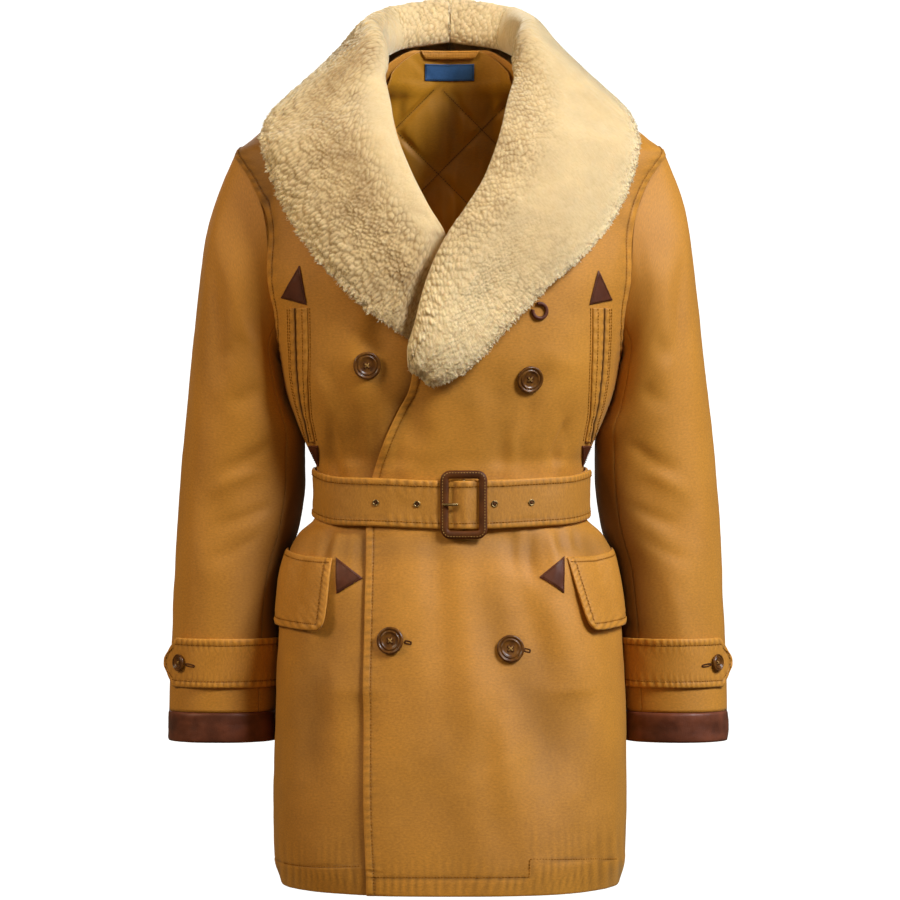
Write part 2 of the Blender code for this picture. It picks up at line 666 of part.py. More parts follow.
def collar_net(lapel, layer):
    """The collar's middle surface from the centre back to the lapel's end."""
    sections = [neck_section(row) for row in COLLAR_NECK]
    sections += [lapel_section(row, layer) for row in lapel]
    net = np.array(sections)
    middle = net[:, 3]
    run = np.concatenate([[0], np.cumsum(np.linalg.norm(np.diff(middle, axis=0), axis=1))])
    along = [[smooth_curve(run, net[:, k, c]) for c in range(3)] for k in range(6)]

    def at(distance, share):
        distance, share = np.broadcast_arrays(distance, share)
        knots = np.array([[curve(distance) for curve in knot] for knot in along])
        return across_spine(knots, share)

    return at, run[-1], run[len(COLLAR_NECK) - 1]


def across_spine(knots, share):
    """A Catmull-Rom curve through the six points of every section at once."""
    position = np.interp(share, SPINE_SHARES, np.arange(6))
    i = np.clip(position.astype(int), 0, 4)
    t = (position - i)[..., None]
    grid = np.moveaxis(knots, 1, -1)

    def knot(k):
        return np.take_along_axis(grid, np.clip(k, 0, 5)[None, ..., None], axis=0)[0]

    before = np.where((i == 0)[..., None], 2 * knot(i) - knot(i + 1), knot(i - 1))
    after = np.where((i == 4)[..., None], 2 * knot(i + 1) - knot(i), knot(i + 2))
    a, b = knot(i), knot(i + 1)
    return (
        a
        + 0.5 * t * (b - before)
        + t * t * (before - 2.5 * a + 2 * b - 0.5 * after)
        + t**3 * (1.5 * (a - b) + 0.5 * (after - before))
    )


def pile_profile(share):
    """How the pile rounds off towards the collar's two edges."""
    rounded = np.sqrt(1 - np.abs(2 * share - 1) ** 7)
    return np.maximum(rounded, EDGE_PILE)


def inside_the_roll(share, distance, neck_ends):
    """How full the pile's underside is: pressed thinner inside the roll of the collar round the neck."""
    return 1 - 0.5 * ramp(share, 0.02, 0.2) * ramp(share, 0.62, 0.44) * ramp(distance, neck_ends + 40, neck_ends)


def collar_piece(name, lapel, layer, start, end, sections):
    """A stretch of the collar as a thick rounded wall; start and end are distances from the back."""
    at, length, neck_ends = collar_net(lapel, layer)
    end = length if end is None else end
    shares = (1 - np.cos(np.linspace(0, np.pi, 11))) / 2
    distance, share = np.meshgrid(np.linspace(start, end, sections), shares, indexing="ij")
    inside = np.clip(distance, 1.0, length - 1.0)
    normal = outward(at, inside, np.clip(share, 0.01, 0.99), 1.0, 0.01)
    centre = at(distance, share)
    pile = lapel_pile(centre[..., 0], centre[..., 2], layer)
    half = pile * pile_profile(share) / 2
    half *= mix(0.45, 1.0, ramp(length - distance, 0, 14))
    half = half[..., None]
    flip = np.array([1 if layer == "over" else -1, 1, 1])
    under = half * inside_the_roll(share, distance, neck_ends)[..., None]
    top, low = (centre + normal * half) * flip, (centre - normal * under) * flip
    lies_on_coat = np.maximum(ramp(share, 0.5, 0.7), ramp(distance, neck_ends, neck_ends + 25))
    top, low = rested(top, low, [f"{layer}_and_beyond", "back"], 3.0, lies_on_coat)
    return wall(name, top, low, "shearling")


BACK_COLLAR_REACH = 88.0


def back_collar():
    """The collar's back piece, between the two seams behind the ears."""
    at, _, neck_ends = collar_net(OVER_LAPEL, "over")
    shares = (1 - np.cos(np.linspace(0, np.pi, 11))) / 2
    distances = np.linspace(-BACK_COLLAR_REACH, BACK_COLLAR_REACH, 13)
    distance, share = np.meshgrid(distances, shares, indexing="ij")
    inside = np.maximum(np.abs(distance), 1.0)
    normal = outward(at, inside, np.clip(share, 0.01, 0.99), 1.0, 0.01)
    centre = at(np.abs(distance), share)
    half = (PILE * pile_profile(share) / 2)[..., None]
    flip = np.stack([np.where(distance < 0, -1, 1)] + [np.ones_like(share)] * 2, axis=-1)
    middle = (np.abs(distance) < 1.0)[..., None] * np.array([1, 0, 0])
    normal = normal * (1 - middle)
    under = half * inside_the_roll(share, np.abs(distance), neck_ends)[..., None]
    top, low = (centre + normal * half) * flip, (centre - normal * under) * flip
    top, low = rested(top, low, ["back"], RESTING_GAP, ramp(share, 0.5, 0.7))
    return wall("collar_back", top, low, "shearling")


def collars():
    back_collar()
    collar_piece("collar_over", OVER_LAPEL, "over", BACK_COLLAR_REACH + GAP, None, 23)
    collar_piece("collar_under", UNDER_LAPEL, "under", BACK_COLLAR_REACH + GAP, None, 20)


# ---------------------------------------------------------------- belt
BELT_TIP_TURN = 106.0


BELT_SLACK = 1.8
BELT_BRIDGE_STEPS = (-64, -42, -24, -8, 0, 4, 8, 12, 16, 20, 25, 30)
BELT_REST = OVERLAP_LIFT + RESTING_GAP
BELT_SECOND = BELT_REST + BELT_CLOTH + 0.6
BELT_BRIDGE_COLUMNS = ("x", "height")
BELT_BRIDGE = (
    (-60, BELT_REST), (-6, BELT_REST), (2, BELT_REST + 0.6), (8, BELT_REST + 4.7),
    (14, BELT_REST + 6.4), (20, BELT_REST + 5.4), (27, BELT_SECOND), (60, BELT_SECOND),
)
belt_bridge = columns_of(BELT_BRIDGE_COLUMNS, BELT_BRIDGE)["height"]


def belt_height(run):
    """Height of the belt's inner face above the body's surface, by run in degrees."""
    x = body_point(np.radians(run), BELT_FRONT_Z)[..., 0]
    wrapped = np.where(run > 300, np.where(run > 400, BELT_SECOND, belt_bridge(x)), BELT_REST)
    from_front = np.abs((run + 180) % 360 - 180)
    return wrapped - (BELT_REST - RESTING_GAP) * ramp(from_front, 45, 80)


def belt_surface(run, share, height):
    """The belt's surface at a run (degrees round from the front) and a share across (-1 to 1)."""
    turn = np.radians((run + 180) % 360 - 180)
    middle = belt_middle(np.abs((run + 180) % 360 - 180))
    base, normal = body_point(turn, middle), body_normal(turn, middle)
    normal = normal * np.array([1, 1, 0])
    normal /= np.linalg.norm(normal, axis=-1, keepdims=True)
    leans = [
        np.sum((body_point(turn, middle + across * BELT_WIDTH / 2) - base) * normal, axis=-1)
        for across in (-1.0, -0.6, 0.6, 1.0)
    ]
    clear = np.maximum(np.max(leans, axis=0), 0)
    upright = np.array([0, 0, BELT_WIDTH / 2]) * np.asarray(share)[..., None]
    return base + upright + normal * (belt_height(run) + height + clear)[..., None]


def belt():
    """One strap from the buckle's bar right round, through the buckle and on to its tip."""
    start = math.degrees(float(turn_at_x(18.5, BELT_FRONT_Z)))
    round_body = np.arange(28, 330, 11.0)
    bridge = [math.degrees(float(turn_at_x(x, BELT_FRONT_Z))) for x in BELT_BRIDGE_STEPS]
    second_time = round_body[round_body < BELT_TIP_TURN]
    first_time = np.concatenate([[start, bridge[-1], 18], round_body])
    runs = np.concatenate([first_time, 360 + np.array(bridge + [18]), 360 + second_time])
    run, share = np.meshgrid(runs, np.linspace(-1, 1, 3), indexing="ij")
    share = share * (1 - 0.55 * ramp(run, 360 + BELT_TIP_TURN - 22, 360 + BELT_TIP_TURN))
    top, low = belt_surface(run, share, BELT_CLOTH), belt_surface(run, share, 0.0)
    away = (top - low) / BELT_CLOTH
    close_run, close_share = np.meshgrid(runs, np.linspace(-1, 1, 9), indexing="ij")
    resting = belt_surface(close_run, close_share, belt_height(close_run % 360) - belt_height(close_run))
    shift = clear_shift(resting, ["over", "under", "back"], BELT_SLACK, away[:, :1])
    shift = np.max(shift, axis=1)[:, None, None] * away
    keep_skin("belt", top + shift)
    return wall("belt", top + shift, low + shift, "cloth")


def rounded_rectangle(half_width, half_height, corner, per_corner):
    """Points round a rectangle with round corners, and the direction out at each."""
    centres = ((1, 1), (-1, 1), (-1, -1), (1, -1))
    points, out = [], []
    for quarter, (sx, sz) in enumerate(centres):
        for k in range(per_corner):
            turn = math.pi / 2 * (quarter + k / (per_corner - 1))
            way = np.array([math.cos(turn), math.sin(turn)])
            centre = np.array([sx * (half_width - corner), sz * (half_height - corner)])
            points.append(centre + way * corner)
            out.append(way)
    return np.array(points), np.array(out)


def face_y(skin, x, z):
    """How far forward a skin's outer face lies at x and z."""
    hit = SKINS[skin].ray_cast((x, -400.0, z), (0.0, 1.0, 0.0))[0]
    return 0.0 if hit is None else hit[1]


def buckle_place():
    """The buckle's middle and its directions: across, up and out, tilted over the double belt."""
    z = float(belt_middle(4))
    ends = []
    for side in (-1, 1):
        x = BUCKLE_X + side * BUCKLE_HALF_WIDTH
        reach = (x - BUCKLE_TUBE_WIDE, x, x + BUCKLE_TUBE_WIDE)
        faces = [face_y("belt", at, z) for at in reach]
        faces += [face_y("over", at, z + level) for at in reach for level in (-35, -31, -27, 31)]
        ends.append(np.array([x, min(faces) - GAP - BUCKLE_TUBE_THICK, z]))
    left, right = ends
    across = (right - left) / np.linalg.norm(right - left)
    up = np.array([0.0, 0.0, 1.0])
    return (left + right) / 2, across, up, np.cross(across, up)


def buckle():
    """The leather-covered frame, the bar across it and the brass prong that lies on it."""
    middle, across, up, out = buckle_place()
    outline, ways = rounded_rectangle(BUCKLE_HALF_WIDTH, BUCKLE_HALF_HEIGHT, BUCKLE_CORNER, 4)
    path = middle + outline[:, :1] * across + outline[:, 1:] * up
    sides = ways[:, :1] * across + ways[:, 1:] * up
    outs = np.repeat(out[None], len(path), axis=0)
    swept_tube(
        "buckle", path, sides, outs, BUCKLE_TUBE_WIDE, BUCKLE_TUBE_THICK, 8, "leather", ring=True
    )
    reach = BUCKLE_HALF_HEIGHT - BUCKLE_TUBE_WIDE - 0.4
    belt_inside = face_y("belt", middle[0], middle[2]) + BELT_CLOTH
    bar_middle = np.array([middle[0], belt_inside + GAP + BUCKLE_BAR_RADIUS + 0.4, middle[2]])
    bar = np.array([bar_middle - up * reach, bar_middle + up * reach])
    swept_tube(
        "buckle_bar", bar, [across] * 2, [out] * 2, BUCKLE_BAR_RADIUS, BUCKLE_BAR_RADIUS, 8, "brass"
    )
    start = np.array([8.0, face_y("belt", 8.0, middle[2]) - 1.9, middle[2]])
    rest = middle - across * (BUCKLE_HALF_WIDTH - 3.0) + out * (BUCKLE_TUBE_THICK + 1.6)
    tip = middle - across * (BUCKLE_HALF_WIDTH + 2.5) + out * (BUCKLE_TUBE_THICK + 1.4)
    rise = mix(start, rest, 0.5) + out * 0.8
    prong = np.array([start, rise, rest, tip])
    swept_tube("buckle_prong", prong, [up] * 4, [out] * 4, 1.3, 1.0, 8, "brass")


def ring_disc(name, centre, across, up, out, profile, sides, slot):
    """A turned ring or disc: profile rows are radius and height, from its outside inward."""
    bm = bmesh.new()
    loops = []
    for radius, height in profile:
        turns = np.arange(sides) * 2 * np.pi / sides
        if radius < 1e-6:
            loops.append([bm.verts.new((centre + out * height).tolist())])
            continue
        ring = centre + out * height + radius * (
            np.outer(np.cos(turns), across) + np.outer(np.sin(turns), up)
        )
        loops.append([bm.verts.new(p) for p in ring.tolist()])
    ends_meet = profile[0][0] > 1e-6 and profile[-1][0] > 1e-6
    pairs = list(zip(loops, loops[1:])) + ([(loops[-1], loops[0])] if ends_meet else [])
    for a, b in pairs:
        for j in range(sides):
            k = (j + 1) % sides
            corners = [a[j % len(a)], a[k % len(a)], b[k % len(b)], b[j % len(b)]]
            bm.faces.new(list(dict.fromkeys(corners)))
    return add_object(name, bm, slot)


def eyelets():
    """Brass rings on the belt; the one that the prong passes through is hidden beneath it."""
    profile = ((3.6, 0.25), (3.2, 0.8), (2.2, 0.8), (1.7, 0.25))
    for number, x in enumerate(EYELETS_X, 1):
        z = float(belt_middle(math.degrees(float(turn_at_x(abs(x), BELT_FRONT_Z)))))

        def surface(u, v, x=x, z=z):
            return np.array([x + u, face_y("belt", x + u, z + v), z + v])

        centre, across, up, out = seat_on(surface, 3.6)
        ring_disc(f"eyelet_{number}", centre, across, up, out, profile, 8, "brass")


def belt_loops():
    """Two carriers that hold the belt at the side backs."""
    shares = np.array([-1.36, -1.24, -1.12, -0.5, 0.0, 0.5, 1.12, 1.24, 1.36])
    heights = np.where(np.abs(shares) < 1.2, BELT_CLOTH + RESTING_GAP + 1.0, -14.0)
    for name, side in (("over", 1), ("under", -1)):
        run, share = np.meshgrid(side * 127.0 + np.array([-2.5, 0, 2.5]), shares)
        rise = np.repeat(heights[:, None], 3, axis=1)
        top, low = belt_surface(run, share, rise + 1.8), belt_surface(run, share, rise)
        wall(f"belt_loop_{name}", *rested(top, low, ["back"], 1.8), "cloth")


# ---------------------------------------------------------------- what lies on the fronts
def on_front(x, z, height, side):
    """A point on a front by how far across it lies (toward its own side is +) and its height."""
    x, z = np.broadcast_arrays(np.asarray(x, float), np.asarray(z, float))
    layer = "over" if side > 0 else "under"
    return on_body(side * turn_at_x(x, z), z, height, layer)


def seats(side):
    return ["over" if side > 0 else "under"]


def flat_patch(name, side, corners, low, thick, slot, rows=5, columns=4):
    """A patch between four corners (x, z), each row from its first side to its second."""
    a, b, c, d = (np.array(corner, float) for corner in corners)
    down = np.linspace(0, 1, rows)[:, None, None]
    across = np.linspace(0, 1, columns)[None, :, None]
    grid = mix(mix(a, b, across), mix(d, c, across), down)
    x, z = grid[..., 0], grid[..., 1]
    top, low = rested(on_front(x, z, low + thick, side), on_front(x, z, low, side), seats(side), 1.3)
    return wall(name, top, low, slot)


def leather_tab(name, side, base_a, base_b, apex, low=0.4):
    """A triangle of leather; its apex is cut 1 mm wide so that it stays a solid."""
    base_a, base_b, apex = (np.array(p, float) for p in (base_a, base_b, apex))
    way = (base_b - base_a) / np.linalg.norm(base_b - base_a)
    return flat_patch(
        name, side, (base_a, base_b, apex + way * 0.5, apex - way * 0.5), low, 1.5, "leather"
    )


# The leather above each hand pocket: its lower corners and its apex, as x and z.
POCKET_TOP_TAB = {
    "over": ((143.5, -240), (169.5, -234.5), (153.5, -204.5)),
    "under": ((148, -240), (175, -231.5), (155.5, -199.5)),
}
# The long hand pocket: where its slit lies, and how far each welt reaches to its side.
POCKET_COLUMNS = ("z", "slit", "inner", "outer")
POCKET = columns_of(
    POCKET_COLUMNS,
    ((-384, 146, -6, 2.5), (-360, 150.5, -5.5, 4), (-346, 154, -7.5, 5), (-302, 159, -12, 7), (-242, 160, -12.5, 7)),
)


def hand_pocket(name, side):
    """Two welts beside a long slit, with a leather tab at each end."""
    z = np.linspace(-243, -381, 9)[:, None]
    for part, first, second in (("inner", POCKET["inner"](z), -0.9), ("outer", 0.9, POCKET["outer"](z))):
        x = POCKET["slit"](z) + mix(first, second, np.linspace(0, 1, 3)[None, :])
        level = z + 0 * x
        top, low = on_front(x, level, 2.3, side), on_front(x, level, 0.5, side)
        top, low = rested(top, low, seats(side), 1.3)
        wall(f"pocket_welt_{part}_{name}", top, low, "cloth")
    leather_tab(f"pocket_tab_top_{name}", side, *POCKET_TOP_TAB[name])
    leather_tab(f"pocket_tab_bottom_{name}", side, (137, -385), (148, -385), (137.5, -407))


FLAP_TOP_Z, FLAP_DEPTH, FLAP_CORNER = -503.0, 75.0, 15.0


def hip_flap(name, side, top_x, bottom_x, kick):
    """A pocket flap from its front edge round to the side, standing off more towards its hem."""
    columns, rows = 12, 7
    shares = np.linspace(0, 1, columns) ** 1.6
    downs = np.linspace(0, 1, rows)
    turns, levels = np.zeros((rows, columns)), np.zeros((rows, columns))
    for j, share in enumerate(shares):
        reach = share * 150.0
        corner = max(0.0, FLAP_CORNER - reach)
        round_off = FLAP_CORNER - math.sqrt(FLAP_CORNER**2 - corner**2)
        top, bottom = FLAP_TOP_Z + 9 * share, FLAP_TOP_Z - FLAP_DEPTH + 6 * share + round_off
        for i, down in enumerate(downs):
            z = mix(top, bottom, down)
            front = turn_at_x(mix(top_x, bottom_x, (FLAP_TOP_Z - z) / FLAP_DEPTH), z)
            behind = turn_at_y(2.0, z)
            turns[i, j] = spread(front, behind, z, 2, np.array([share, 1.0]))[0]
            levels[i, j] = z
    lift = 0.6 + kick * downs[:, None] ** 1.5 * (1 - 0.6 * shares[None, :])
    layer = "over" if side > 0 else "under"
    top = on_body(side * turns, levels, lift + CLOTH, layer)
    low = on_body(side * turns, levels, lift, layer)
    top, low = rested(top, low, seats(side))
    wall(f"hip_flap_{name}", top, low, "cloth")
    leather_tab(f"flap_tab_{name}", side, (top_x - 3.0, -501.5), (top_x - 3.0, -538.5), (91.5, -521.5))


def button_profile(radius):
    """A four-hole coat button's turned outline, from the middle of its face to its back."""
    thick = 0.13 * radius + 2.2
    return (
        (0.0, 0.62 * thick), (0.58 * radius, 0.66 * thick), (0.70 * radius, 0.95 * thick),
        (0.84 * radius, thick), (radius, 0.62 * thick), (0.96 * radius, 0.25 * thick),
        (0.62 * radius, 0.0), (0.0, 0.0),
    )


def seat_on(surface, radius):
    """Where a flat-backed disc rests on a surface(u, v): its middle, directions and seat."""
    centre = surface(0.0, 0.0)
    across = surface(1.0, 0.0) - surface(-1.0, 0.0)
    up = surface(0.0, 1.0) - surface(0.0, -1.0)
    across, up = across / np.linalg.norm(across), up / np.linalg.norm(up)
    out = np.cross(across, up)
    out /= np.linalg.norm(out)
    up = np.cross(out, across)
    turns = np.linspace(0, 2 * np.pi, 24)
    rim = [surface(radius * math.cos(t), radius * math.sin(t)) - centre for t in turns]
    highest = max(0.0, max(float(np.dot(p, out)) for p in rim))
    return centre + out * (highest + 0.35), across, up, out


def front_button(name, side, x, z, radius):
    def surface(u, v):
        layer = "over" if side > 0 else "under"
        return on_body(turn_at_x(x + u, z + v), z + v, 0.0, layer)

    centre, across, up, out = seat_on(surface, radius)
    if out[1] > 0:
        out = -out
    ring_disc(name, centre, across, up, out, button_profile(radius), 14, "horn")


def cuff_button(name, side):
    radius_deg = 0.92
    at = 42.0

    def surface(u, v):
        run = at - side * u * radius_deg
        return strap_point(np.array(run), np.array(CUFF_STRAP_Z + v), 3.0, side)

    centre, across, up, out = seat_on(surface, CUFF_BUTTON_RADIUS)
    if out[0] * side < 0:
        out = -out
    ring_disc(
        f"cuff_button_{name}", centre, across, up, out, button_profile(CUFF_BUTTON_RADIUS), 12, "horn"
    )


def button_loop():
    """A leather loop that hangs from under the over lapel's edge."""
    turns = np.linspace(math.radians(110), math.radians(-190), 15)
    x, z = 91.0 + 7.0 * np.cos(turns), -247.0 + 7.5 * np.sin(turns)
    path = on_front(x, z, 2.1, 1)
    _, across, _, out = seat_on(lambda u, v: on_front(91 + u, -247 + v, 2.1, 1), 1.0)
    up = np.cross(out, across)
    ways = np.outer(np.cos(turns), across) + np.outer(np.sin(turns), up)
    swept_tube("button_loop", path, ways, [out] * len(path), 1.9, 1.7, 8, "leather")


def inside_back(x, z, height):
    """Points inside the back of the neck, a height in front of the lining, and the way off it."""
    turn = turn_at_x(x, z, at_back=True)
    behind, ahead = on_body(turn, z, -lining_depth(z)), on_body(turn, z, -(lining_depth(z) + 1.0))
    on_lining = rested(ahead, behind, ["back_lining"], 0.0)[1]
    return on_lining + (ahead - behind) * np.asarray(height)[..., None]


def hanger_loop():
    """A sewn loop along the neck seam; it bows off the lining between its ends."""
    x, share = np.meshgrid(np.linspace(-32, 32, 9), np.linspace(0, 1, 3))
    x = x * mix(0.82, 1.0, share)
    z = mix(32.0, 41.0, share)
    stand = 0.5 + 3.0 * np.cos(x / 32 * np.pi / 2)
    wall("hanger_loop", inside_back(x, z, stand + 2.0), inside_back(x, z, stand), "cloth")


def neck_label():
    x, z = np.meshgrid(np.linspace(-27, 26, 7), np.linspace(9.5, 27, 3))
    wall("neck_label", inside_back(x, z, 1.4 + 0 * x), inside_back(x, z, 0.6 + 0 * x), "label")


def build():
    for old in list(bpy.data.objects):
        bpy.data.objects.remove(old)
    front_panel("front_over", "over")
    front_panel("front_under", "under")
    back_panel()
    back_lining()
    for name, side in (("over", 1), ("under", -1)):
        sleeve(name, side)
        cuff_binding(name, side)
        cuff_strap(name, side)
        cuff_button(name, side)
        hand_pocket(name, side)
    hip_flap("over", 1, 118, 138, 5.0)
    hip_flap("under", -1, 120, 127, 2.5)
    collars()
    belt()
    buckle()
    eyelets()
    belt_loops()
    for row in BUTTONS:
        front_button(*row)
    button_loop()
    hanger_loop()
    neck_label()


build()
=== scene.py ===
"""The looks of a belted double-breasted coat with a shearling collar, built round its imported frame.

Sizes are in millimetres and become metres where a mesh is made. +Z is up and the coat faces -Y.
"Over" is the front that lies on top, on the wearer's left (+X); "under" is the one beneath it (-X).
The first part repeats the surfaces that the solids lie on; the rest lays the fine pieces on them.
"""
import math

import bpy
import numpy as np
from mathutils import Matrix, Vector
from mathutils.bvhtree import BVHTree


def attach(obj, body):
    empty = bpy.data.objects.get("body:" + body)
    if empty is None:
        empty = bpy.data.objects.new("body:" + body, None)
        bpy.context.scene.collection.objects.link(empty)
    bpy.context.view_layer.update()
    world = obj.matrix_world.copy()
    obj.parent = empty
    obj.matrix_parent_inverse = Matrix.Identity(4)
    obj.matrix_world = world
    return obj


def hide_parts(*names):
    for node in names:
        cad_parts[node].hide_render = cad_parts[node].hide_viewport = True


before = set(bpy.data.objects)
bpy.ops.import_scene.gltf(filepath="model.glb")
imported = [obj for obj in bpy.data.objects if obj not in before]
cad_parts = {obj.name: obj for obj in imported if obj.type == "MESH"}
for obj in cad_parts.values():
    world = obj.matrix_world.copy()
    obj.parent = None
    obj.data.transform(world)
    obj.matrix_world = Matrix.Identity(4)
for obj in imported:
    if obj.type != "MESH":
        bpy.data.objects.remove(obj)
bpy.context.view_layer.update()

MM = 0.001
# The two fronts, and which way across each one's own side lies.
SIDES = {"over": 1, "under": -1}
LAYER_AT = {side: layer for layer, side in SIDES.items()}

# ---------------------------------------------------------------- the surfaces that the solids lie on

HEM_Z = -846.0
NECK_SIDE_Z = 8.0
NECK_BACK_Z = 46.0
NECK_HALF_WIDTH = 80.0
SHOULDER_Z = -77.0
UNDERARM_Z = -289.0
CLOTH = 2.5
LINING_CLOTH = 1.5
GAP = 0.5
RESTING_GAP = 0.9
OVERLAP_LIFT = CLOTH + RESTING_GAP
HIDDEN_DROP = 3.0
ARMHOLE_FRONT, ARMHOLE_BACK = 60.0, 64.0
ARMHOLE_MIDDLE_Z, ARMHOLE_HALF = (SHOULDER_Z + UNDERARM_Z) / 2, (SHOULDER_Z - UNDERARM_Z) / 2
# The body of the coat at each height: half width, and where its front, sides and back lie.
BODY_COLUMNS = ("z", "half_width", "front", "side", "back", "square")
BODY = (
    (-846, 178, -148, 0, 138, 2.4),
    (-815, 185, -149, 0, 138, 2.5),
    (-760, 187, -147, 0, 136, 2.5),
    (-660, 185, -140, 0, 132, 2.5),
    (-590, 182, -132, 0, 125, 2.5),
    (-530, 178, -124, 0, 117, 2.45),
    (-498, 171, -117, 0, 111, 2.4),
    (-478, 160, -112, 0, 106, 2.35),
    (-462, 143, -110, 0, 102, 2.3),
    (-434, 138, -109, 0, 101, 2.3),
    (-405, 141, -111, 0, 103, 2.3),
    (-386, 150, -115, 0, 106, 2.35),
    (-360, 161, -120, 0, 111, 2.45),
    (-330, 172, -125, 0, 116, 2.5),
    (-290, 180, -129, 0, 121, 2.6),
    (-250, 188, -131, 0, 124, 2.6),
    (-212, 199, -130, 0, 125, 2.6),
    (-148, 205, -121, 0, 122, 2.6),
    (-110, 216, -110, 1, 117, 2.5),
    (-77, 228, -97, 2, 112, 2.3),
    (-63, 213, -87, 3, 109, 2.2),
    (-46, 193, -75, 4, 106, 2.1),
    (-24, 150, -56, 5, 102, 2.1),
    (-6, 110, -36, 6, 99, 2.1),
    (8, 82, -16, 6, 95, 2.1),
    (30, 80, -14, 6, 88, 2.1),
    (46, 78, -12, 6, 84, 2.1),
)
# Where each front's own edge lies: past the centre line below, along the collar's roll above.
EDGE_COLUMNS = ("z", "past_centre")
EDGE = (
    (-846, -84), (-750, -88), (-650, -89), (-546, -88), (-474, -86), (-423, -81), (-382, -68),
    (-351, -54), (-328, -42), (-284, -34), (-248, -28), (-207, -13), (-173, 3), (-135, 24),
    (-83, 48), (-32, 63), (8, 77),
)
# Soft troughs (-) and ridges (+) of the body, by plan angle: 0 is the front, +90 the wearer's left side.
# Each row: start angle, end angle, start z, end z, width in degrees, depth.
FOLDS = (
    (-66, -72, -474, -620, 7, -5), (-50, -52, -474, -600, 7, 3.5), (-36, -34, -474, -640, 6.5, -5),
    (-8, 2, -474, -700, 8, -3), (30, 46, -474, -740, 7.5, -5), (50, 60, -474, -640, 7, 3.5),
    (66, 72, -474, -640, 7, -5), (48, 14, -640, -830, 11, -3.5), (-38, -54, -640, -840, 10, -3.5),
    (-52, -46, -405, -300, 7, -4.5), (-26, -18, -408, -290, 7, -3.5), (26, 18, -408, -290, 7, -3.5),
    (54, 48, -405, -300, 7, -4.5), (108, 111, -468, -680, 8, -5), (132, 136, -468, -640, 8, -4.5),
    (156, 158, -468, -720, 8, -4.5), (180, 180, -468, -680, 8, -4.5), (-156, -154, -468, -650, 8, -4.5),
    (-134, -137, -468, -730, 8, -5), (-110, -112, -468, -650, 8, -5), (122, 130, -400, -260, 8, -4.5),
    (160, 166, -400, -270, 8, -4.5), (-122, -130, -400, -260, 8, -4.5), (-158, -164, -400, -280, 8, -4.5),
)
# The sleeve: its outer line from shoulder to cuff, its inner line from underarm to cuff, and its depth.
SLEEVE_COLUMNS = ("out_x", "out_z", "in_x", "in_z", "mid_y", "half_depth")
SLEEVE = (
    (228, -77, 180, -289, 1, 62), (243, -112, 182, -297, 4, 65), (254, -150, 180, -306, 8, 68),
    (261, -195, 176.5, -318, 13, 70), (267, -245, 172, -332, 18, 71), (273, -300, 164.5, -352, 23, 70),
    (279, -355, 154.5, -380, 27, 68), (284, -412, 154.5, -420, 30, 66), (288, -466, 160.5, -466, 31, 64),
    (291, -520, 176, -520, 32, 62), (293, -575, 183, -575, 33, 60), (295, -630, 186, -630, 34, 58),
    (296, -667, 186.5, -667, 34, 57), (296.5, -699, 186, -699, 34, 56),
)
UNDER_SIDE_EASE = 4.0
# About a sleeve's radius, which turns its angles into distances round it.
SLEEVE_RADIUS = 62.0
CUFF_ROW, SLEEVE_END_ROW = 12.0, 13.0
FRONT_SLEEVE_SEAM, BACK_SLEEVE_SEAM = 135.0, 225.0
# Each row: table row, angle, slant, length in rows, width in degrees, depth.
SLEEVE_FOLDS = (
    (3.6, 60, 4, 3.0, 16, -3.5), (4.2, 15, 2, 3.5, 18, -2.5), (7.2, 100, -14, 1.1, 20, -4.0),
    (8.1, 75, 16, 1.0, 20, -3.0), (8.6, 250, 14, 1.1, 22, -3.5), (7.4, 280, -12, 1.1, 22, -3.5),
    (10.0, 40, 3, 1.6, 20, -2.0), (4.0, 300, 4, 2.6, 20, -3.0),
)
# The collar round the neck: the line that runs through the middle of its pile, in planes through the
# neck's axis. Distances are from that axis, at each turn from the front (0) round to the back (180).
NECK_AXIS_Y = 8.0
COLLAR_NECK_COLUMNS = (
    "turn", "seam_r", "seam_z", "stand_r", "stand_z", "roll_r", "roll_z",
    "fall_r", "fall_z", "hang_r", "hang_z", "edge_r", "edge_z",
)
COLLAR_NECK = (
    (180, 77, 50.0, 79, 69, 94, 94, 114, 68, 122, 14, 117, -44),
    (135, 81, 38.0, 82, 60, 96, 80, 117, 53, 132, 8, 144, -44),
    (92, 81, 17.0, 78, 43, 85, 60, 107, 39, 143, 3, 188, -37),
    (76, 78, 13.0, 75, 31, 84, 48, 107, 30, 144, -2, 199, -46),
)
# The lapels: the x and z of the inner (roll) and outer ends of sections across them.
OVER_LAPEL = (
    (58, -30, 196, -78), (48, -74, 182, -120), (32, -116, 163, -158), (16, -143, 135, -194),
    (-3, -171, 98, -227), (-17, -197, 79, -247), (-28, -227, 58, -268), (-36, -260, 27, -301),
    (-43, -288, 0, -318), (-42, -307, -22, -325),
)
UNDER_LAPEL = (
    (60, -30, 196, -76), (54, -66, 184, -106), (38, -106, 168, -143), (21, -140, 146, -182),
    (2, -172, 110, -225), (-4, -198, 84, -249), (6, -226, 66, -261), (14, -249, 50, -271),
    (22, -267, 38, -280),
)
PILE = 20.0
TUCKED_PILE = 8.0
EDGE_PILE = 0.3
TUCK_LIFT = 10.0
BELT_WIDTH, BELT_CLOTH = 50.0, 2.2
BELT_COLUMNS = ("angle", "middle_z")
BELT_FRONT_Z = -446.5
BELT_LINE = ((0, BELT_FRONT_Z), (45, -443), (90, -434), (135, -429), (180, -427))
BUCKLE_X, BUCKLE_HALF_WIDTH, BUCKLE_HALF_HEIGHT = 14.2, 19.9, 31.0
BUCKLE_CORNER, BUCKLE_BAR_RADIUS = 6.0, 1.3
BUCKLE_TUBE_WIDE, BUCKLE_TUBE_THICK = 4.3, 2.3
EYELETS_X = (-76.5, -34.0, 45.8, 84.0)
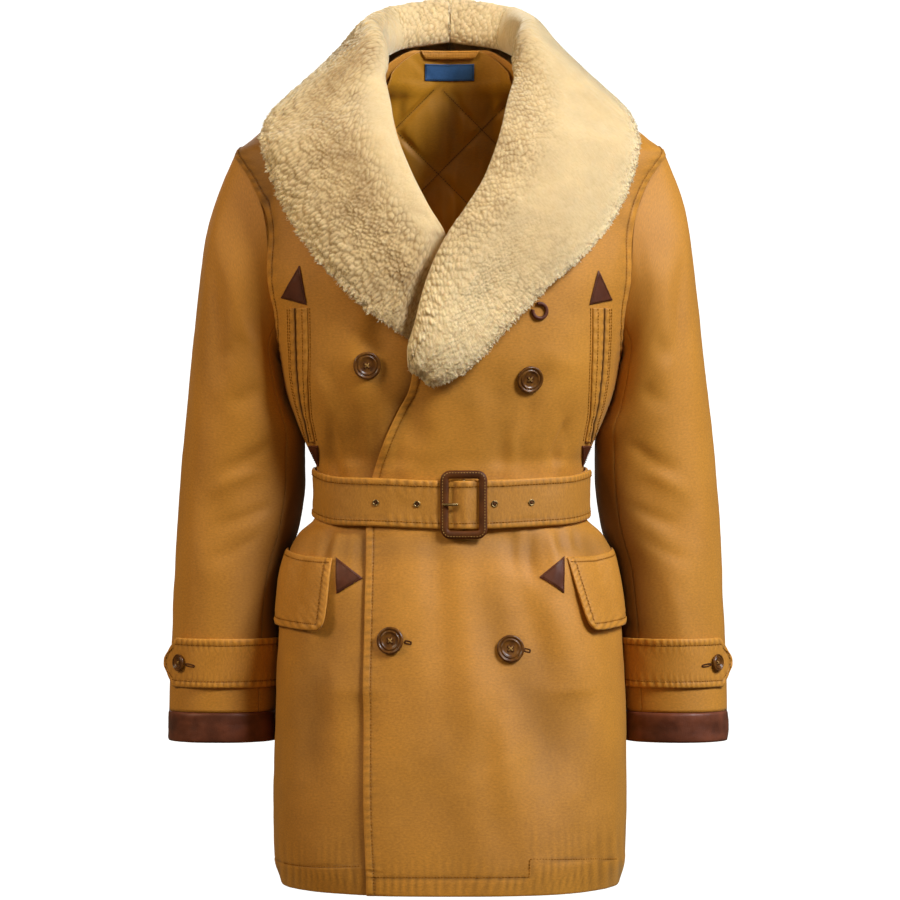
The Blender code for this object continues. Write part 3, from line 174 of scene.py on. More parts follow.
# The front buttons: name, side, x, z, radius.
BUTTONS = (
    ("button_upper_under", -1, -85.5, -303, 14.3), ("button_upper_over", 1, 81.5, -317, 14.3),
    ("button_lower_fastened", 1, -60.5, -586, 14.3), ("button_lower_over", 1, 62.0, -594, 14.3),
)
CUFF_BUTTON_RADIUS = 9.2


def smooth_curve(xs, ys):
    """A curve through the points that never overshoots them, as a function."""
    xs, ys = np.asarray(xs, float), np.asarray(ys, float)
    step, rise = np.diff(xs), np.diff(ys) / np.diff(xs)
    slope = np.concatenate([[rise[0]], np.zeros(len(xs) - 2), [rise[-1]]])
    same_way = rise[:-1] * rise[1:] > 0
    w1, w2 = 2 * step[1:] + step[:-1], step[1:] + 2 * step[:-1]
    with np.errstate(divide="ignore", invalid="ignore"):
        mean = (w1 + w2) / (w1 / rise[:-1] + w2 / rise[1:])
    slope[1:-1] = np.where(same_way, mean, 0.0)

    def at(x):
        x = np.clip(np.asarray(x, float), xs[0], xs[-1])
        i = np.clip(np.searchsorted(xs, x, side="right") - 1, 0, len(xs) - 2)
        t = (x - xs[i]) / step[i]
        return (
            ys[i] * (1 + 2 * t) * (1 - t) ** 2
            + slope[i] * step[i] * t * (1 - t) ** 2
            + ys[i + 1] * t * t * (3 - 2 * t)
            - slope[i + 1] * step[i] * t * t * (1 - t)
        )

    return at


def columns_of(columns, rows):
    """A table as one smooth curve for each column, by the first column."""
    table = np.array(rows, float)
    return {name: smooth_curve(table[:, 0], table[:, k]) for k, name in enumerate(columns)}


def ramp(x, start, end):
    """0 before start, 1 after end, and smooth between; start may lie above end."""
    t = np.clip((np.asarray(x, float) - start) / (end - start), 0, 1)
    return t * t * (3 - 2 * t)


def mix(a, b, t):
    return a + (b - a) * t


def unit(v):
    return v / np.maximum(np.linalg.norm(v, axis=-1, keepdims=True), 1e-9)


def run_along(path):
    """The distance along a path to each of its points."""
    return np.concatenate([[0], np.cumsum(np.linalg.norm(np.diff(path, axis=0), axis=-1))])


def at_run(where, run, field):
    """A field of vectors, known at each run, read at other distances."""
    return np.stack([np.interp(where, run, field[:, k]) for k in range(field.shape[1])], axis=-1)


body = columns_of(BODY_COLUMNS, BODY)
front_edge = columns_of(EDGE_COLUMNS, EDGE)["past_centre"]
belt_middle = columns_of(BELT_COLUMNS, BELT_LINE)["middle_z"]


def body_point(turn, z):
    """The body at a turn (radians, 0 front, + towards the over side, pi back) and height."""
    turn, z = np.broadcast_arrays(np.asarray(turn, float), np.asarray(z, float))
    power = 2 / body["square"](z)
    across, along = np.sin(turn), np.cos(turn)
    far = np.where(along > 0, body["front"](z), body["back"](z))
    x = body["half_width"](z) * np.sign(across) * np.abs(across) ** power
    y = body["side"](z) + (far - body["side"](z)) * np.abs(along) ** power
    return np.stack([x, y, z], axis=-1)


def turn_at_x(x, z, at_back=False):
    """The turn where the body is x across, on its front or its back half."""
    share = np.clip(np.abs(x) / body["half_width"](z), 0, 1) ** (body["square"](z) / 2)
    turn = np.arcsin(share)
    return np.where(np.asarray(x) < 0, -1, 1) * (np.pi - turn if at_back else turn)


def turn_at_y(y, z):
    """The turn (0 to pi) where the body's wall lies at that y."""
    ahead = y < body["side"](z)
    far = np.where(ahead, body["front"](z), body["back"](z)) - body["side"](z)
    share = np.clip((y - body["side"](z)) / far, 0, 1) ** (body["square"](z) / 2)
    turn = np.arccos(share)
    return np.where(ahead, turn, np.pi - turn)


def outward(point, a, b, step_a, step_b):
    """The unit normal of a surface point(a, b), turned so that a x b points out."""
    along_a = point(a + step_a, b) - point(a - step_a, b)
    along_b = point(a, b + step_b) - point(a, b - step_b)
    return unit(np.cross(along_a, along_b))


def body_normal(turn, z):
    return outward(body_point, turn, z, 0.02, 1.0)


def body_folds(points):
    """How far the folds push the body's cloth out (+) or in (-) at these points."""
    angle = np.degrees(np.arctan2(points[..., 0], -points[..., 1]))
    z = points[..., 2]
    push = np.zeros(z.shape)
    for start_angle, end_angle, start_z, end_z, width, depth in FOLDS:
        run = np.clip((z - start_z) / (end_z - start_z), 0, 1)
        middle = mix(start_angle, end_angle, run)
        away = (angle - middle + 180) % 360 - 180
        push += depth * np.exp(-((away / width) ** 2)) * np.sin(np.pi * run**0.6)
    return push


def tuck_lift(x, z):
    """How far the over front rises to pass over the end of the under lapel."""
    inside = x - front_edge(z)
    return TUCK_LIFT * ramp(z, -318, -270) * ramp(z, -110, -165) * ramp(inside, 75, 8)


def over_lift(x, z):
    """The over front's height above the body's own surface."""
    return OVERLAP_LIFT * ramp(x, 165, 105) + tuck_lift(x, z)


def under_drop(x, z):
    """How far the under front sinks where the over front hides it."""
    return -HIDDEN_DROP * ramp(x - front_edge(z), -5, 15)


def on_body(turn, z, height, layer="back"):
    """Points on the coat's cloth ("over", "under" or "back"), that far above its outer face."""
    base = body_point(turn, z)
    x = base[..., 0]
    lift = {"over": over_lift, "under": under_drop}.get(layer, lambda x, z: 0.0)(x, base[..., 2])
    push = body_folds(base) + lift + height
    return base + body_normal(turn, z) * np.asarray(push)[..., None]


def armhole_height(angle):
    return ARMHOLE_MIDDLE_Z + ARMHOLE_HALF * np.cos(angle)


def armhole_y(z, reach):
    """The armhole's edge ahead of (-) or behind (+) the side line at a height."""
    height = np.clip((z - ARMHOLE_MIDDLE_Z) / ARMHOLE_HALF, -1, 1)
    return body["side"](z) + reach * np.sqrt(1 - height**2)


def neckline_half_width(z):
    rise = (z - NECK_SIDE_Z) / (NECK_BACK_Z - NECK_SIDE_Z)
    return NECK_HALF_WIDTH * (1 - np.clip(rise, 0, 1)) ** 0.31


def lining_depth(z):
    """How far inside the cloth's outer face the lining's back lies: looser lower down."""
    return CLOTH + mix(3.5, 8.0, ramp(z, -40, -240))


sleeve_rows = {
    name: smooth_curve(range(len(SLEEVE)), [row[k] for row in SLEEVE])
    for k, name in enumerate(SLEEVE_COLUMNS)
}


def sleeve_point(angle, row):
    """The sleeve at an angle (radians: 0 outside, pi/2 front, pi inside) and table row."""
    angle, row = np.broadcast_arrays(np.asarray(angle, float), np.asarray(row, float))
    cap = {name: curve(row) for name, curve in sleeve_rows.items()}
    share = (1 + np.cos(angle)) / 2
    x = mix(cap["in_x"], cap["out_x"], share)
    z = mix(cap["in_z"], cap["out_z"], share)
    y = cap["mid_y"] - cap["half_depth"] * np.sin(angle)
    # At the armhole the sleeve starts from the body's own surface.
    start_z = mix(UNDERARM_Z, SHOULDER_Z, share)
    reach = np.where(np.sin(angle) > 0, -ARMHOLE_FRONT, ARMHOLE_BACK)
    start_y = armhole_y(start_z, reach)
    start = body_point(turn_at_y(start_y, start_z), start_z)
    line_x = mix(SLEEVE[0][2], SLEEVE[0][0], share)
    line_y = SLEEVE[0][4] - SLEEVE[0][5] * np.sin(angle)
    held = 1 - ramp(row, 0, 2.5)
    x = x + held * (start[..., 0] - line_x)
    y = y + held * (start[..., 1] - line_y)
    return np.stack([x, y, z], axis=-1)


def sleeve_normal(angle, row):
    row = np.clip(row, 0.02, SLEEVE_END_ROW - 0.02)
    return outward(sleeve_point, angle, row, 0.01, 0.02)


def sleeve_folds(angle, row):
    push = np.zeros(np.broadcast(angle, row).shape)
    for at_row, at_angle, slant, length, width, depth in SLEEVE_FOLDS:
        along = (row - at_row) / length
        away = (np.degrees(angle) - at_angle - slant * along + 180) % 360 - 180
        push = push + depth * np.exp(-((away / width) ** 2) - along**2 * 2)
    return push


def on_sleeve(angle, row, height, side):
    """Points on one sleeve's outer face, that far above it; side is +1 or -1."""
    push = sleeve_folds(angle, row) * ramp(row, 0, 1.5) * ramp(row, SLEEVE_END_ROW, 11) + height
    points = sleeve_point(angle, row) + sleeve_normal(angle, row) * push[..., None]
    if side < 0:
        ease = UNDER_SIDE_EASE * ramp(row, 0, 3) * ramp(np.cos(angle), -0.6, 0.6)
        points = points + np.stack([ease, 0 * ease, 0 * ease], axis=-1)
    return points * np.array([side, 1, 1])


def row_at_height(z):
    """The sleeve's table row at a height, below the elbow, where its rings are level."""
    rows = np.linspace(8, SLEEVE_END_ROW, 200)
    return np.interp(-z, -sleeve_rows["out_z"](rows), rows)


CUFF_STRAP_Z, CUFF_STRAP_WIDTH = -615.0, 52.0
STRAP_START, STRAP_LEAVES = 172.0, 40.0
STRAP_POINT_LENGTH, STRAP_FREE_LENGTH = 21.0, 29.0
STRAP_FACE = 3.0


def strap_point(run, z, height, side):
    """The cuff strap's surface: round the sleeve, then straight on past its button."""
    turned = np.radians(np.clip(run, STRAP_LEAVES, STRAP_START))
    row = row_at_height(z)
    free = np.maximum(STRAP_LEAVES - run, 0) / STRAP_LEAVES * STRAP_FREE_LENGTH
    leaves = np.radians(STRAP_LEAVES)
    tangent = unit(on_sleeve(leaves - 0.05, row, 0.0, side) - on_sleeve(leaves + 0.05, row, 0.0, side))
    return on_sleeve(turned, row, height, side) + tangent * free[..., None]


SPINE_SHARES = np.array([0, 0.14, 0.3, 0.5, 0.75, 1.0])


def neck_section(row):
    """The six points of a collar section round the neck."""
    values = dict(zip(COLLAR_NECK_COLUMNS, row))
    turn = math.radians(values["turn"])
    points = []
    for part in ("seam", "stand", "roll", "fall", "hang", "edge"):
        r, z = values[part + "_r"], values[part + "_z"]
        points.append((r * math.sin(turn), NECK_AXIS_Y - r * math.cos(turn), z))
    return np.array(points)


def lapel_section(row, layer):
    """The six points of a lapel section, half a pile's depth above its front; + is toward its side."""
    in_x, in_z, out_x, out_z = row
    side = SIDES[layer]
    x, z = mix(in_x, out_x, SPINE_SHARES), mix(in_z, out_z, SPINE_SHARES)
    reach = body["half_width"](z) * 0.995
    height = lapel_pile(x, z, layer) / 2 + GAP
    return on_front(np.clip(x, -reach, reach), z, height, side) * np.array([side, 1, 1])


def lapel_pile(x, z, layer):
    """The pile's depth, pressed thin where the under lapel goes beneath the over one."""
    if layer == "over":
        return np.full(np.shape(x), PILE)
    past = -x - np.interp(z, *over_roll_line())
    return mix(PILE, TUCKED_PILE, ramp(past, -22, -5) * ramp(z, -150, -180))


def over_roll_line():
    """The over lapel's inner edge, as heights and distances across."""
    rows = np.array(OVER_LAPEL)[::-1]
    return rows[:, 1], rows[:, 0]


def collar_net(lapel, layer):
    """The collar's middle surface from the centre back to the lapel's end."""
    sections = [neck_section(row) for row in COLLAR_NECK]
    sections += [lapel_section(row, layer) for row in lapel]
    net = np.array(sections)
    run = run_along(net[:, 3])
    along = [[smooth_curve(run, net[:, k, c]) for c in range(3)] for k in range(6)]

    def at(distance, share):
        distance, share = np.broadcast_arrays(distance, share)
        knots = np.array([[curve(distance) for curve in knot] for knot in along])
        return across_spine(knots, share)

    return at, run[-1], run[len(COLLAR_NECK) - 1]


def across_spine(knots, share):
    """A Catmull-Rom curve through the six points of every section at once."""
    position = np.interp(share, SPINE_SHARES, np.arange(6))
    i = np.clip(position.astype(int), 0, 4)
    t = (position - i)[..., None]
    grid = np.moveaxis(knots, 1, -1)

    def knot(k):
        return np.take_along_axis(grid, np.clip(k, 0, 5)[None, ..., None], axis=0)[0]

    before = np.where((i == 0)[..., None], 2 * knot(i) - knot(i + 1), knot(i - 1))
    after = np.where((i == 4)[..., None], 2 * knot(i + 1) - knot(i), knot(i + 2))
    a, b = knot(i), knot(i + 1)
    return (
        a
        + 0.5 * t * (b - before)
        + t * t * (before - 2.5 * a + 2 * b - 0.5 * after)
        + t**3 * (1.5 * (a - b) + 0.5 * (after - before))
    )


def pile_profile(share):
    """How the pile rounds off towards the collar's two edges."""
    rounded = np.sqrt(1 - np.abs(2 * share - 1) ** 7)
    return np.maximum(rounded, EDGE_PILE)


def inside_the_roll(share, distance, neck_ends):
    """How full the pile's underside is: pressed thinner inside the roll of the collar round the neck."""
    in_roll = ramp(share, 0.02, 0.2) * ramp(share, 0.62, 0.44)
    return 1 - 0.5 * in_roll * ramp(distance, neck_ends + 40, neck_ends)


BACK_COLLAR_REACH = 88.0
BELT_TIP_TURN = 106.0
BELT_REST = OVERLAP_LIFT + RESTING_GAP
BELT_SECOND = BELT_REST + BELT_CLOTH + 0.6
BELT_BRIDGE_COLUMNS = ("x", "height")
BELT_BRIDGE = (
    (-60, BELT_REST), (-6, BELT_REST), (2, BELT_REST + 0.6), (8, BELT_REST + 4.7),
    (14, BELT_REST + 6.4), (20, BELT_REST + 5.4), (27, BELT_SECOND), (60, BELT_SECOND),
)
belt_bridge = columns_of(BELT_BRIDGE_COLUMNS, BELT_BRIDGE)["height"]


def signed_turn(run):
    """A run in degrees round the body as a turn from -180 to 180, 0 at the front."""
    return (run + 180) % 360 - 180


def belt_height(run):
    """Height of the belt's inner face above the body's surface, by run in degrees."""
    x = body_point(np.radians(run), BELT_FRONT_Z)[..., 0]
    wrapped = np.where(run > 300, np.where(run > 400, BELT_SECOND, belt_bridge(x)), BELT_REST)
    return wrapped - (BELT_REST - RESTING_GAP) * ramp(np.abs(signed_turn(run)), 45, 80)


def belt_surface(run, share, height):
    """The belt's surface at a run (degrees round from the front) and a share across (-1 to 1)."""
    turn = np.radians(signed_turn(run))
    middle = belt_middle(np.abs(signed_turn(run)))
    base, normal = body_point(turn, middle), unit(body_normal(turn, middle) * np.array([1, 1, 0]))
    leans = [
        np.sum((body_point(turn, middle + across * BELT_WIDTH / 2) - base) * normal, axis=-1)
        for across in (-1.0, -0.6, 0.6, 1.0)
    ]
    clear = np.maximum(np.max(leans, axis=0), 0)
    upright = np.array([0, 0, BELT_WIDTH / 2]) * np.asarray(share)[..., None]
    return base + upright + normal * (belt_height(run) + height + clear)[..., None]


def rounded_rectangle(half_width, half_height, corner, per_corner):
    """Points round a rectangle with round corners."""
    points = []
    for quarter, (sx, sz) in enumerate(((1, 1), (-1, 1), (-1, -1), (1, -1))):
        for k in range(per_corner):
            turn = math.pi / 2 * (quarter + k / (per_corner - 1))
            centre = np.array([sx * (half_width - corner), sz * (half_height - corner)])
            points.append(centre + np.array([math.cos(turn), math.sin(turn)]) * corner)
    return np.array(points)


# Heights above the buckle's middle at which it has to clear the over front.
BUCKLE_CLEAR_LEVELS = (-35, -31, -27, 31)


def buckle_place():
    """The buckle's middle and its directions: across, up and out, tilted over the double belt."""
    z = float(belt_middle(4))
    ends = []
    for side in (-1, 1):
        x = BUCKLE_X + side * BUCKLE_HALF_WIDTH
        reach = (x - BUCKLE_TUBE_WIDE, x, x + BUCKLE_TUBE_WIDE)
        faces = [face_y("belt", at, z) for at in reach]
        faces += [face_y("over", at, z + level) for at in reach for level in BUCKLE_CLEAR_LEVELS]
        ends.append(np.array([x, min(faces) - GAP - BUCKLE_TUBE_THICK, z]))
    left, right = ends
    across, up = unit(right - left), np.array([0.0, 0.0, 1.0])
    return (left + right) / 2, across, up, np.cross(across, up)


def on_front(x, z, height, side):
    """A point on a front by how far across it lies (toward its own side is +) and its height."""
    x, z = np.broadcast_arrays(np.asarray(x, float), np.asarray(z, float))
    return on_body(side * turn_at_x(x, z), z, height, LAYER_AT[side])


# The leather above each hand pocket: its lower corners and its apex, as x and z.
POCKET_TOP_TAB = {
    "over": ((143.5, -240), (169.5, -234.5), (153.5, -204.5)),
    "under": ((148, -240), (175, -231.5), (155.5, -199.5)),
}
POCKET_BOTTOM_TAB = ((137, -385), (148, -385), (137.5, -407))
# The long hand pocket: where its slit lies, and how far each welt reaches to its side.
POCKET = columns_of(
    ("z", "slit", "inner", "outer"),
    (
        (-384, 146, -6, 2.5), (-360, 150.5, -5.5, 4), (-346, 154, -7.5, 5),
        (-302, 159, -12, 7), (-242, 160, -12.5, 7),
    ),
)
FLAP_TOP_Z, FLAP_DEPTH, FLAP_CORNER, FLAP_STITCH = -503.0, 75.0, 15.0, 6.5


SEAT_GAP = 0.35


def seat_on(surface, radius):
    """Where a flat-backed disc rests on a surface(u, v): its middle, and its ways across, up and out."""
    centre = surface(0.0, 0.0)
    across = unit(surface(1.0, 0.0) - surface(-1.0, 0.0))
    up = unit(surface(0.0, 1.0) - surface(0.0, -1.0))
    out = unit(np.cross(across, up))
    up = np.cross(out, across)
    turns = np.linspace(0, 2 * np.pi, 24)
    rim = [surface(radius * math.cos(t), radius * math.sin(t)) - centre for t in turns]
    highest = max(0.0, max(float(np.dot(p, out)) for p in rim))
    return centre + out * (highest + SEAT_GAP), across, up, out


# ---------------------------------------------------------------- small helpers
def wander(points, size, seed):
    """Smooth noise from -1 to 1 whose bumps are about that size across."""
    p = np.asarray(points, float) / size + seed * 17.31
    cell = np.floor(p).astype(np.int64)
    t = p - cell
    t = t * t * (3 - 2 * t)
    total = 0.0
    for corner in np.ndindex(2, 2, 2):
        at = (cell + np.array(corner)).astype(np.uint64)
        mixed = at[..., 0] * np.uint64(73856093) ^ at[..., 1] * np.uint64(19349663)
        mixed = (mixed ^ at[..., 2] * np.uint64(83492791)) + np.uint64(seed * 7919)
        mixed = (mixed ^ (mixed >> np.uint64(13))) * np.uint64(1274126177)
        value = ((mixed >> np.uint64(9)) & np.uint64(0xFFFF)) / 65535.0
        weight = np.prod(np.where(np.array(corner) == 1, t, 1 - t), axis=-1)
        total = total + value * weight
    return 2 * total - 1


def flat_points(across, along):
    """Points for the noise over a flat piece."""
    return np.stack([across, along, 0 * across], axis=-1)


def stations(length, count, near_start, near_end):
    """Distances along a length: fixed ones near both ends and even ones between, always as many."""
    start, end = np.array(near_start, float), np.array(near_end, float)
    squeeze = min(1.0, length / (max(start.max() + end.max(), 1e-6) * 1.25))
    start, end = start * squeeze, end * squeeze
    middle = np.linspace(start.max(), length - end.max(), count + 2)[1:-1]
    return np.concatenate([start, middle, np.sort(length - end)])


def body_run(turn_a, turn_b, z):
    """Evenly spaced turns from a to b at a height, with the distance along the cloth to each."""
    turns = np.linspace(turn_a, turn_b, 200)
    return turns, run_along(body_point(turns, z))


def numbered(rows, columns, start=0):
    """The numbers of a grid of points."""
    return start + np.arange(rows * columns).reshape(rows, columns)


def quads_of(at, ring=False):
    """The quads between neighbours in a grid of point numbers; a ring's last column meets its first."""
    if ring:
        at = np.concatenate([at, at[:, :1]], axis=1)
    return np.stack([at[:-1, :-1], at[:-1, 1:], at[1:, 1:], at[1:, :-1]], axis=-1).reshape(-1, 4)


SKINS = {}  # the finished outer faces, for what lies on them
FAR_AHEAD_Y = -400.0
PROBE = 40.0  # how far off a skin the rays start that look for it


def keep_skin(name, outer):
    quads = quads_of(numbered(*outer.shape[:2]))
    SKINS[name] = BVHTree.FromPolygons(outer.reshape(-1, 3).tolist(), quads.tolist())


def face_y(skin, x, z):
    """Where a skin lies behind a point, as seen from ahead."""
    hit = SKINS[skin].ray_cast((float(x), FAR_AHEAD_Y, float(z)), (0.0, 1.0, 0.0))[0]
    return 0.0 if hit is None else hit[1]


def clear_shift(points, skins, gap, away):
    """How far to move points along their own directions until they lie a gap outside the skins."""
    flat, ways = points.reshape(-1, 3), np.broadcast_to(away, points.shape).reshape(-1, 3)
    moves = np.zeros(len(flat))
    starts, backs = (flat + ways * PROBE).tolist(), (-ways).tolist()
    for skin in skins:
        cast = SKINS[skin].ray_cast
        for k, (start, back) in enumerate(zip(starts, backs)):
            hit = cast(start, back, 2 * PROBE)
            if hit[0] is not None:
                moves[k] = max(moves[k], PROBE - hit[3] + gap)
    return moves.reshape(points.shape[:-1])


def rested(top, low, skins, gap):
    """Both faces of a cloth, moved off the skins below it where it lies nearer than the gap."""
    away = unit(top - low)
    shift = clear_shift(low, skins, gap, away)[..., None] * away
    return top + shift, low + shift


def finish_piece(name, vertices, faces, look, slot, uv=None, tone=None):
    """One object on the coat's body, in its look, from points in millimetres."""
    mesh = bpy.data.meshes.new(name)
    mesh.from_pydata((np.asarray(vertices) * MM).tolist(), [], faces)
    corners = np.zeros(len(mesh.loops), dtype=np.int32)
    mesh.loops.foreach_get("vertex_index", corners)
    if uv is not None:
        layer = mesh.uv_layers.new(name="cloth")
        layer.data.foreach_set("uv", (np.asarray(uv)[corners] * MM).astype(np.float32).ravel())
    if tone is not None:
        held = mesh.attributes.new("tone", "FLOAT", "POINT")
        held.data.foreach_set("value", np.asarray(tone, dtype=np.float32).ravel())
    mesh.shade_smooth()
    mesh.materials.append(LOOKS[look])
    made = bpy.data.objects.new(name, mesh)
    bpy.context.scene.collection.objects.link(made)
    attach(made, "root")
    return made


def signed_volume(vertices, faces):
    """Six times the volume inside the faces: below 0 where they are inside out."""
    by_size, total = {}, 0.0
    for face in faces:
        by_size.setdefault(len(face), []).append(face)
    for size, some in by_size.items():
        corners = vertices[np.array(some)]
        for k in range(1, size - 1):
            total += np.einsum("ij,ij->", corners[:, 0], np.cross(corners[:, k], corners[:, k + 1]))
    return total


def facing_out(vertices, faces):
    """The faces of a closed solid, turned over if they face into it."""
    return [face[::-1] for face in faces] if signed_volume(vertices, faces) < 0 else faces


def kept_points(count, every, ring):
    """Which points of a fine line its coarser partner keeps."""
    kept = list(range(0, count, every))
    if not ring and kept[-1] != count - 1:
        kept.append(count - 1)
    return np.array(kept)


def wall(name, outer, inner, look, slot, ring=False, tone=None, uv=None, every=2):
    """The fine piece for a CAD one: a closed wall between a fine outer grid and a coarser inner one.

    Its UV holds real lengths. The inner grid keeps every second (or later) point of each line.
    """
    rows, columns = outer.shape[:2]
    down, across = kept_points(rows, every, False), kept_points(columns, every, ring)
    low = inner[np.ix_(down, across)]
    at, under = numbered(rows, columns), numbered(*low.shape[:2], start=rows * columns)
    faces = quads_of(at, ring).tolist() + quads_of(under, ring)[:, ::-1].tolist()

    def rim(fine, rough, kept, way, closed=False):
        if closed:
            kept = np.append(kept, len(fine))
            fine, rough = np.append(fine, fine[0]), np.append(rough, rough[0])
        for k in range(len(rough) - 1):
            face = fine[kept[k]:kept[k + 1] + 1].tolist()[::-1] + [int(rough[k]), int(rough[k + 1])]
            faces.append(face[::way])

    rim(at[0], under[0], across, 1, ring)
    rim(at[-1], under[-1], across, -1, ring)
    if not ring:
        rim(at[:, 0], under[:, 0], down, -1)
        rim(at[:, -1], under[:, -1], down, 1)
    vertices = np.concatenate([outer.reshape(-1, 3), low.reshape(-1, 3)])
    if uv is None:
        steps = np.linalg.norm(np.diff(outer, axis=1), axis=-1)
        levels = np.median(np.linalg.norm(np.diff(outer, axis=0), axis=-1), axis=1)
        u = np.concatenate([np.zeros((rows, 1)), np.cumsum(steps, axis=1)], axis=1)
        v = np.concatenate([[0], np.cumsum(levels)])[:, None] + 0 * u
        uv = np.stack([u, v], axis=-1)
    tone = np.zeros((rows, columns)) if tone is None else np.asarray(tone)
    flat = np.concatenate([uv.reshape(-1, 2), uv[np.ix_(down, across)].reshape(-1, 2)])
    shade = np.concatenate([tone.ravel(), tone[np.ix_(down, across)].ravel() * 0.4])
    made = finish_piece(f"{name}_fine", vertices, facing_out(vertices, faces), look, slot, flat, shade)
    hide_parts(name)
    return made


def swept(path, across, up, wide, thick, sides, ring=False, taper=None):
    """Points and faces of a solid with an oval section that follows a path."""
    turns = np.arange(sides) * 2 * np.pi / sides
    across, up = np.broadcast_to(across, path.shape), np.broadcast_to(up, path.shape)
    taper = np.ones(len(path)) if taper is None else np.asarray(taper)
    wide, thick = taper * wide, taper * thick
    loops = (
        path[:, None]
        + np.cos(turns)[None, :, None] * across[:, None] * wide[:, None, None]
        + np.sin(turns)[None, :, None] * up[:, None] * thick[:, None, None]
    )
    at = numbered(len(path), sides)
    if ring:
        at = np.concatenate([at, at[:1]], axis=0)
    faces = quads_of(at, True).tolist()
    if not ring:
        faces += [at[0][::-1].tolist(), at[-1].tolist()]
    vertices = loops.reshape(-1, 3)
    return vertices, facing_out(vertices, faces)


def joined(parts):
    """Several lots of points and faces as one."""
    vertices, faces, start = [], [], 0
    for points, some in parts:
        vertices.append(points)
        faces += [[k + start for k in face] for face in some]
        start += len(points)
    return np.concatenate(vertices), faces


def tube(name, path, across, up, wide, thick, sides, look, slot, taper=None):
    """The fine piece for a CAD one that is swept along a path."""
    vertices, faces = swept(path, across, up, wide, thick, sides, taper=taper)
    made = finish_piece(f"{name}_fine", vertices, faces, look, slot, uv=vertices[:, [0, 2]])
    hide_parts(name)


def even_path(points, step):
    """The same path with its points a step apart."""
    points = np.asarray(points, float)
    run = run_along(points)
    count = max(2, int(round(run[-1] / step)) + 1)
    return at_run(np.linspace(0, run[-1], count), run, points)


# The four rings of a stitch: how far along it, how thick and how high each lies.
STITCH_RINGS = ((-0.5, 0.35, -0.55), (-0.28, 1.0, 0.1), (0.28, 1.0, 0.1), (0.5, 0.35, -0.55))
STITCH_LIFT = 0.25


def stitch_parts(path, lift, pitch=3.3, length=2.7, thread=0.52):
    """Single stitches one after another along a path of points; lift points away from the cloth."""
    run = run_along(path)
    middles = np.arange(pitch / 2, run[-1] - pitch / 2, pitch)
    centre, up = at_run(middles, run, path), unit(at_run(middles, run, lift))
    way = unit(at_run(middles + 1.0, run, path) - at_run(middles - 1.0, run, path))
    side = np.cross(way, up)
    turns = np.arange(4) * np.pi / 2
    rings = []
    for along, size, raise_by in STITCH_RINGS:
        middle = centre + way * along * length + up * (raise_by * thread)
        loop = [
            middle + side * math.cos(t) * thread * size * 1.15 + up * math.sin(t) * thread * size
            for t in turns
        ]
        rings.append(np.stack(loop, axis=1))
    points = np.stack(rings, axis=1).reshape(-1, 3)
    one = []
    for ring in range(3):
        for k in range(4):
            a, b = ring * 4 + k, ring * 4 + (k + 1) % 4
            one.append((a, a + 4, b + 4, b))
    one += [(0, 1, 2, 3), (15, 14, 13, 12)]
    faces = (np.array(one)[None] + np.arange(len(middles))[:, None, None] * 16).reshape(-1, 4)
    return points, faces.tolist()


def stitches(name, lines, look="thread", slot="cloth", **sizes):
    """All of one piece's stitching as one mesh; each line is (path, lift)."""
    vertices, faces = joined([stitch_parts(path, lift, **sizes) for path, lift in lines])
    finish_piece(name, vertices, faces, look, slot, uv=vertices[:, [0, 2]])


# ---------------------------------------------------------------- materials
def add(tree, kind, inputs=None, **settings):
    made = tree.nodes.new(kind)
    for key, value in settings.items():
        setattr(made, key, value)
    for key, value in (inputs or {}).items():
        if isinstance(value, bpy.types.NodeSocket):
            tree.links.new(value, made.inputs[key])
        else:
            made.inputs[key].default_value = value
    return made


def colour_mix(tree, share, first, second):
    """Two colours, each an output or three numbers, mixed by a share."""
    first, second = ((*c, 1) if isinstance(c, tuple) else c for c in (first, second))
    return add(tree, "ShaderNodeMix", {0: share, 6: first, 7: second}, data_type="RGBA").outputs[2]


def span(tree, value, low, high, to_low=0.0, to_high=1.0):
    inputs = {"Value": value, "From Min": low, "From Max": high, "To Min": to_low, "To Max": to_high}
    return add(tree, "ShaderNodeMapRange", inputs).outputs[0]


def bump(tree, height, distance, strength, below=None):
    inputs = {"Height": height, "Distance": distance, "Strength": strength}
    if below is not None:
        inputs["Normal"] = below
    return add(tree, "ShaderNodeBump", inputs).outputs["Normal"]


def feed(tree, shader, **outputs):
    """Link outputs to the shader's inputs, whose names have _ for a space here."""
    for key, value in outputs.items():
        tree.links.new(value, shader.inputs[key.replace("_", " ")])


def scaled(colour, by):
    return tuple(c * by for c in colour)


def new_look(name, **fixed):
    """A material, its node tree and its shader, with these of the shader's inputs set."""
    made = bpy.data.materials.new(name)
    made.use_nodes = True
    shader = made.node_tree.nodes["Principled BSDF"]
    for key, value in fixed.items():
        shader.inputs[key.replace("_", " ")].default_value = value
    return made, made.node_tree, shader


def grain(tree, size, detail, stretch=None, coordinate="Object", rough=0.5):
    """Noise whose bumps are about that many millimetres across, in the coat's own space or the cloth's."""
    where = add(tree, "ShaderNodeTexCoord").outputs[coordinate]
    if stretch:
        where = add(tree, "ShaderNodeMapping", {"Vector": where, "Scale": stretch}).outputs[0]
    inputs = {"Vector": where, "Scale": 1000.0 / size, "Detail": detail, "Roughness": rough}
    return add(tree, "ShaderNodeTexNoise", inputs).outputs[0]


def tone_of(tree):
    return add(tree, "ShaderNodeAttribute", attribute_name="tone").outputs["Fac"]


